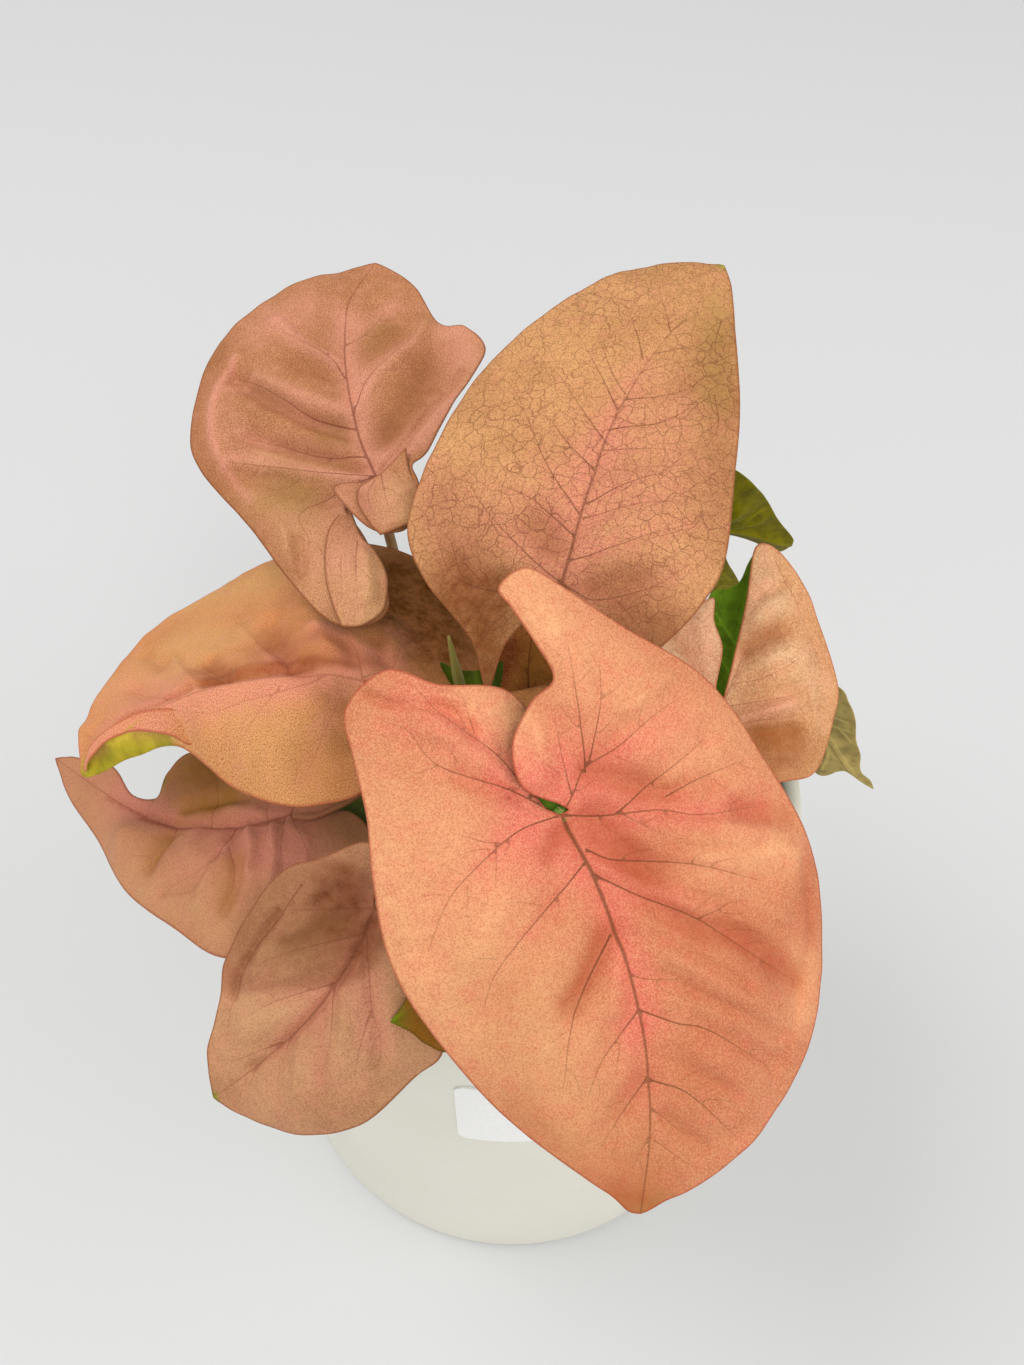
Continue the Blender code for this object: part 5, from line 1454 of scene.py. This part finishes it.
def add_soil():
    """The mix, with its lumpy top."""
    edge = POT_INSIDE - CLEARANCE
    floor = POT_FLOOR + CLEARANCE
    profile = [(0, floor), (edge - SOIL_BEVEL, floor)]
    profile += [(edge, z) for z in (floor + SOIL_BEVEL, SOIL_MIDDLE, SOIL_TOP - SOIL_BEVEL)]
    profile += [(r, SOIL_TOP) for r in np.linspace(edge, 1, SOIL_RINGS)]
    points, faces = lathe(profile + [(0, SOIL_TOP)], SOIL_SIDES)
    top = points[:, 2] > SOIL_TOP - 1
    points[top, 2] = soil_height(points[top, 0], points[top, 1])
    finish = soil_material("potting_mix", *PEAT_COLOURS, 0.95)
    piece = add_piece("soil", points, faces, finish, "potting_mix")
    set_field(piece.data, "place", points)


def ball_corners():
    """The twelve corners of an even ball of twenty faces."""
    golden = (1 + math.sqrt(5)) / 2
    corners = [(0, a, b * golden) for a in (-1, 1) for b in (-1, 1)]
    return corners + [(z, x, y) for x, y, z in corners] + [(y, z, x) for x, y, z in corners]


def ball_faces():
    """The faces of that ball: each three corners that lie next to one another."""
    ball = np.array(ball_corners(), float)
    faces = []
    for trio in combinations(range(len(ball)), 3):
        a, b, c = (ball[i] for i in trio)
        if max(np.linalg.norm(p - q) for p, q in ((a, b), (b, c), (a, c))) < 2.1:
            outward = np.dot(np.cross(b - a, c - a), a) > 0
            faces.append(trio if outward else (trio[0], trio[2], trio[1]))
    return faces


def lump(draw, place, size, flatness):
    """The corners of a rough little stone or chip: a ball pushed about and turned."""
    turn = Euler([draw.uniform(0, 6.28) for _ in range(3)]).to_matrix()
    stretch = (draw.uniform(*CRUMB_LENGTH), draw.uniform(*CRUMB_WIDTH), flatness)
    points = []
    for corner in ball_corners():
        way = Vector(corner).normalized() * draw.uniform(*CRUMB_ROUGHNESS)
        way = Vector([w * s for w, s in zip(way, stretch)])
        points.append(np.array(place) + size * np.array(turn @ way))
    return points


def add_crumbs(name, count, sizes, flatness, finish):
    """Loose bits that lie half sunk on the mix."""
    draw = random.Random(name)
    shape = ball_faces()
    points, faces = [], []
    reach = POT_INSIDE - CRUMB_MARGIN
    while len(points) < len(ball_corners()) * count:
        x, y = draw.uniform(-reach, reach), draw.uniform(-reach, reach)
        from_stem = min(math.hypot(x - a, y - b) for a, b in STEMS.values())
        if math.hypot(x, y) > reach or from_stem < STEM_RADIUS + CRUMB_STEM_GAP:
            continue
        size = draw.uniform(*sizes)
        z = float(soil_height(np.array([x]), np.array([y]))[0]) + CRUMB_SINK * size
        start = len(points)
        points += lump(draw, (x, y, z), size, flatness)
        faces += [tuple(start + i for i in face) for face in shape]
    piece = add_piece(name, points, faces, finish, None, smooth=False)
    set_field(piece.data, "place", np.array(points))


def across(path):
    """The points of the path, each with two directions across it that turn with it and don't spin."""
    path = [Vector(p) for p in path]
    side = Vector((1, 0, 0))
    for i, here in enumerate(path):
        way = (path[min(i + 1, len(path) - 1)] - path[max(i - 1, 0)]).normalized()
        side = (side - way * side.dot(way)).normalized()
        yield here, side, way.cross(side)


class Tube:
    """Collects closed tubes along paths, with how far along and around each point is."""

    def __init__(self):
        self.points = []
        self.faces = []
        self.along = []

    def add(self, path, radii, sides=20, groove=0.0, lengthwise=(0.0, 1.0)):
        """A tube along the path; lengthwise are the shares, 0 green to 1 brown, of its two ends."""
        start = len(self.points)
        for i, (here, side, other) in enumerate(across(path)):
            share = lengthwise[0] + (lengthwise[1] - lengthwise[0]) * i / (len(path) - 1)
            for step in range(sides):
                angle = 2 * math.pi * step / sides
                dip = groove * math.exp(-((angle - math.pi) / PETIOLE_GROOVE_WIDTH) ** 2)
                x, y = math.cos(angle), math.sin(angle)
                self.points.append(np.array(here + (side * x + other * y) * (float(radii[i]) * (1 - dip))))
                self.along.append((x * STREAK_SPREAD, y * STREAK_SPREAD, share))
        self.faces += ring_faces(start, len(path), sides)
        self.faces.append(tuple(start + i for i in range(sides - 1, -1, -1)))
        self.faces.append(tuple(range(len(self.points) - sides, len(self.points))))


def petiole_path(leaf, steps=PETIOLE_RINGS):
    """From inside the stem up and out to the blade, on one smooth bend."""
    turn = leaf.matrix().to_3x3()
    along, out = turn.col[0], turn.col[2]
    lean = math.radians(leaf.arrive)
    arrival = along * math.cos(lean) + out * math.sin(lean)
    end = Vector(leaf.spot) - arrival * PETIOLE_END
    x, y = STEMS[leaf.stem]
    start = Vector((x, y, PETIOLE_FOOT))
    reach = min(PETIOLE_REACH, PETIOLE_SHARE * (end - start).length)
    bend = (start, start + Vector((0, 0, PETIOLE_RISE)), end - arrival * reach, end)
    path = []
    for i in range(steps + 1):
        t = i / steps
        weights = ((1 - t) ** 3, 3 * t * (1 - t) ** 2, 3 * t * t * (1 - t), t ** 3)
        path.append(sum((w * p for w, p in zip(weights, bend)), Vector()))
    return path


def along_path(values, count):
    """The values spread evenly over a count of points."""
    return np.interp(np.linspace(0, 1, count), np.linspace(0, 1, len(values)), values)


def add_stem(name, finish):
    """One stem with the petioles that grow from it."""
    x, y = STEMS[name]
    tube = Tube()
    heights, radii = zip(*STEM_PROFILE)
    tube.add([(x, y, z) for z in heights], radii, 28, lengthwise=(0.0, 0.1))
    for leaf in LEAVES.values():
        if leaf.stem == name:
            route = petiole_path(leaf)
            radii = along_path(PETIOLE_RADII, len(route))
            radii[-FLARE_RINGS:] = np.linspace(radii[-FLARE_RINGS], leaf.flare, FLARE_RINGS)
            tube.add(route, radii, groove=PETIOLE_GROOVE, lengthwise=(0.0, leaf.browning))
    if name == "front":
        foot = Vector(ROLL_PATH[0])
        rise = (Vector(ROLL_PATH[1]) - foot).normalized()
        bend = [(x, y, PETIOLE_FOOT), ROLL_STALK_BEND, foot - 5 * rise, foot + 0.5 * rise]
        route = smooth_line(bend, 1.0)
        tube.add(route, along_path(ROLL_STALK_RADII, len(route)))
    piece = add_piece(f"stalks_{name}", tube.points, tube.faces, finish, f"stem_{name}")
    set_field(piece.data, "place", np.array(tube.points))
    set_field(piece.data, "along", np.array(tube.along))


def rolled_points():
    """Two spirals, the sheet's outer and inner face, at each point of the roll's path."""
    route = smooth_line(ROLL_PATH, 0.6)
    radii = along_path(ROLL_RADII, len(route))
    points, along = [], []
    for i, (here, side, other) in enumerate(across(route)):
        for layer in (0.0, ROLL_THICKNESS):
            for step in range(ROLL_SIDES + 1):
                share = step / ROLL_SIDES
                angle = 2 * math.pi * ROLL_TURNS * share + ROLL_START
                reach = radii[i] * (ROLL_CORE + (1 - ROLL_CORE) * share) * (1 - layer)
                spot = here + (side * math.cos(angle) + other * math.sin(angle)) * float(reach)
                points.append(np.array(spot))
                along.append((math.cos(angle), math.sin(angle), i / (len(route) - 1)))
    return points, along


def add_rolled_leaf():
    """A new leaf still wound round itself: one thin sheet on a spiral that tapers to a point."""
    points, along = rolled_points()
    row = ROLL_SIDES + 1
    last = len(points) - 2 * row
    faces = []
    for low in range(0, last, 2 * row):
        high = low + 2 * row
        for a, b in zip(range(low, low + ROLL_SIDES), range(high, high + ROLL_SIDES)):
            faces.append((a, a + 1, b + 1, b))
            faces.append((a + row + 1, a + row, b + row, b + row + 1))
        faces.append((low, high, high + row, low + row))
        faces.append((high + row - 1, low + row - 1, low + 2 * row - 1, high + 2 * row - 1))
    for step in range(ROLL_SIDES):
        faces.append((row + step, row + step + 1, step + 1, step))
        top = last + step
        faces.append((top, top + 1, top + row + 1, top + row))
    piece = add_piece("new_leaf", points, faces, new_leaf_material(), "new_leaf_roll")
    set_field(piece.data, "along", np.array(along))


def rounded_outline(width, height, corner, step):
    """The outline of a rectangle with rounded corners, its points no more than a step apart."""
    ring = []
    for x, z, start in ((width - corner, height - corner, 0), (corner, height - corner, 90),
                        (corner, corner, 180), (width - corner, corner, 270)):
        ring += arc((x, z), corner, start, start + 90, 6)
    ring = np.array(ring)
    dense = []
    for a, b in zip(ring, np.roll(ring, -1, 0)):
        parts = max(1, round(np.linalg.norm(b - a) / step))
        dense += [a + (b - a) * i / parts for i in range(parts)]
    return np.array(dense)


def add_sticker():
    """A blank label with rounded corners that follows the front wall."""
    ring = rounded_outline(STICKER_WIDTH, STICKER_HEIGHT, STICKER_CORNER, STICKER_STEP)
    grid = np.array([(x, z) for x in np.arange(STICKER_MARGIN, STICKER_WIDTH, STICKER_STEP)
                     for z in np.arange(STICKER_MARGIN, STICKER_HEIGHT, STICKER_STEP)])
    gap, _ = nearest(grid, ring)
    grid = grid[inside(grid, ring) & (gap > STICKER_GAP)]
    flat = [Vector(p) for p in np.concatenate([ring, grid])]
    verts, _, faces, _, _, _ = delaunay_2d_cdt(flat, [], [list(range(len(ring)))], 1, MERGE_GAP)
    sheet = np.array([[v.x, v.y] for v in verts])
    faces = facing_up(sheet, faces)
    angle = np.radians(STICKER_LEFT_ANGLE) + sheet[:, 0] / POT_RADIUS
    height = STICKER_TOP - STICKER_HEIGHT + sheet[:, 1]
    points = np.concatenate([np.column_stack([r * np.cos(angle), r * np.sin(angle), height])
                             for r in (STICKER_OUTSIDE, STICKER_INSIDE)])
    count = len(sheet)
    solid = closed(faces, count) + [(b, a, a + count, b + count) for a, b in boundary(faces)]
    piece = add_piece("label", points, solid, sticker_material(), "sticker", smooth=False)
    set_field(piece.data, "place", points)


def add_floor():
    """The plain pale floor that the pot stands on."""
    mesh = bpy.data.meshes.new("floor")
    square = [(FLOOR_REACH * x, FLOOR_REACH * y, 0) for x, y in ((-1, -1), (1, -1), (1, 1), (-1, 1))]
    mesh.from_pydata(square, [], [(0, 1, 2, 3)])
    mesh.materials.append(Nodes("floor", 0.7, 0.2).finish(FLOOR_COLOUR))
    floor = bpy.data.objects.new("floor", mesh)
    bpy.context.scene.collection.objects.link(floor)


def add_lamp(name, place, size, power, colour):
    """A square soft lamp that looks at the pot."""
    lamp = bpy.data.lights.new(name, "AREA")
    lamp.shape = "SQUARE"
    lamp.size = size
    lamp.energy = power
    lamp.color = colour
    light = bpy.data.objects.new(name, lamp)
    light.location = place
    light.rotation_euler = (Vector(LAMP_AIM) - Vector(place)).to_track_quat("-Z", "Y").to_euler()
    bpy.context.scene.collection.objects.link(light)


def add_light():
    """Pale daylight from all sides and the soft lamps."""
    world = bpy.data.worlds.new("studio")
    world.use_nodes = True
    background = world.node_tree.nodes["Background"]
    background.inputs["Color"].default_value = WORLD_COLOUR
    background.inputs["Strength"].default_value = WORLD_STRENGTH
    bpy.context.scene.world = world
    for name, lamp in LAMPS.items():
        add_lamp(name, *lamp)
    bpy.context.scene.view_settings.view_transform = "Standard"


def add_camera():
    """The camera of the photograph, which looks down on the pot from the front."""
    lens = bpy.data.cameras.new("camera")
    lens.sensor_fit = "VERTICAL"
    lens.sensor_height = CAMERA_SENSOR
    lens.lens = CAMERA_LENS
    lens.clip_start = 0.01
    camera = bpy.data.objects.new("camera", lens)
    camera.location = CAMERA_PLACE
    camera.rotation_euler = (math.radians(CAMERA_TILT), 0, 0)
    bpy.context.scene.collection.objects.link(camera)
    bpy.context.scene.camera = camera


def corners(box):
    """The box as plain lists."""
    return [[float(c) for c in corner] for corner in box]


clear_scene()
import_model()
add_camera()
add_light()
add_floor()
add_pot()
add_soil()
add_crumbs("bark", 420, (0.9, 2.6), 0.5, soil_material("bark", *BARK_COLOURS, 0.85))
add_crumbs("perlite", 46, (0.7, 1.5), 0.9, soil_material("perlite", *PERLITE_COLOURS, 0.9))
add_sticker()
stalk = petiole_material()
for stem in STEMS:
    add_stem(stem, stalk)
for number, (name, leaf) in enumerate(LEAVES.items()):
    add_blade(name, leaf, SEED + number)
add_rolled_leaf()
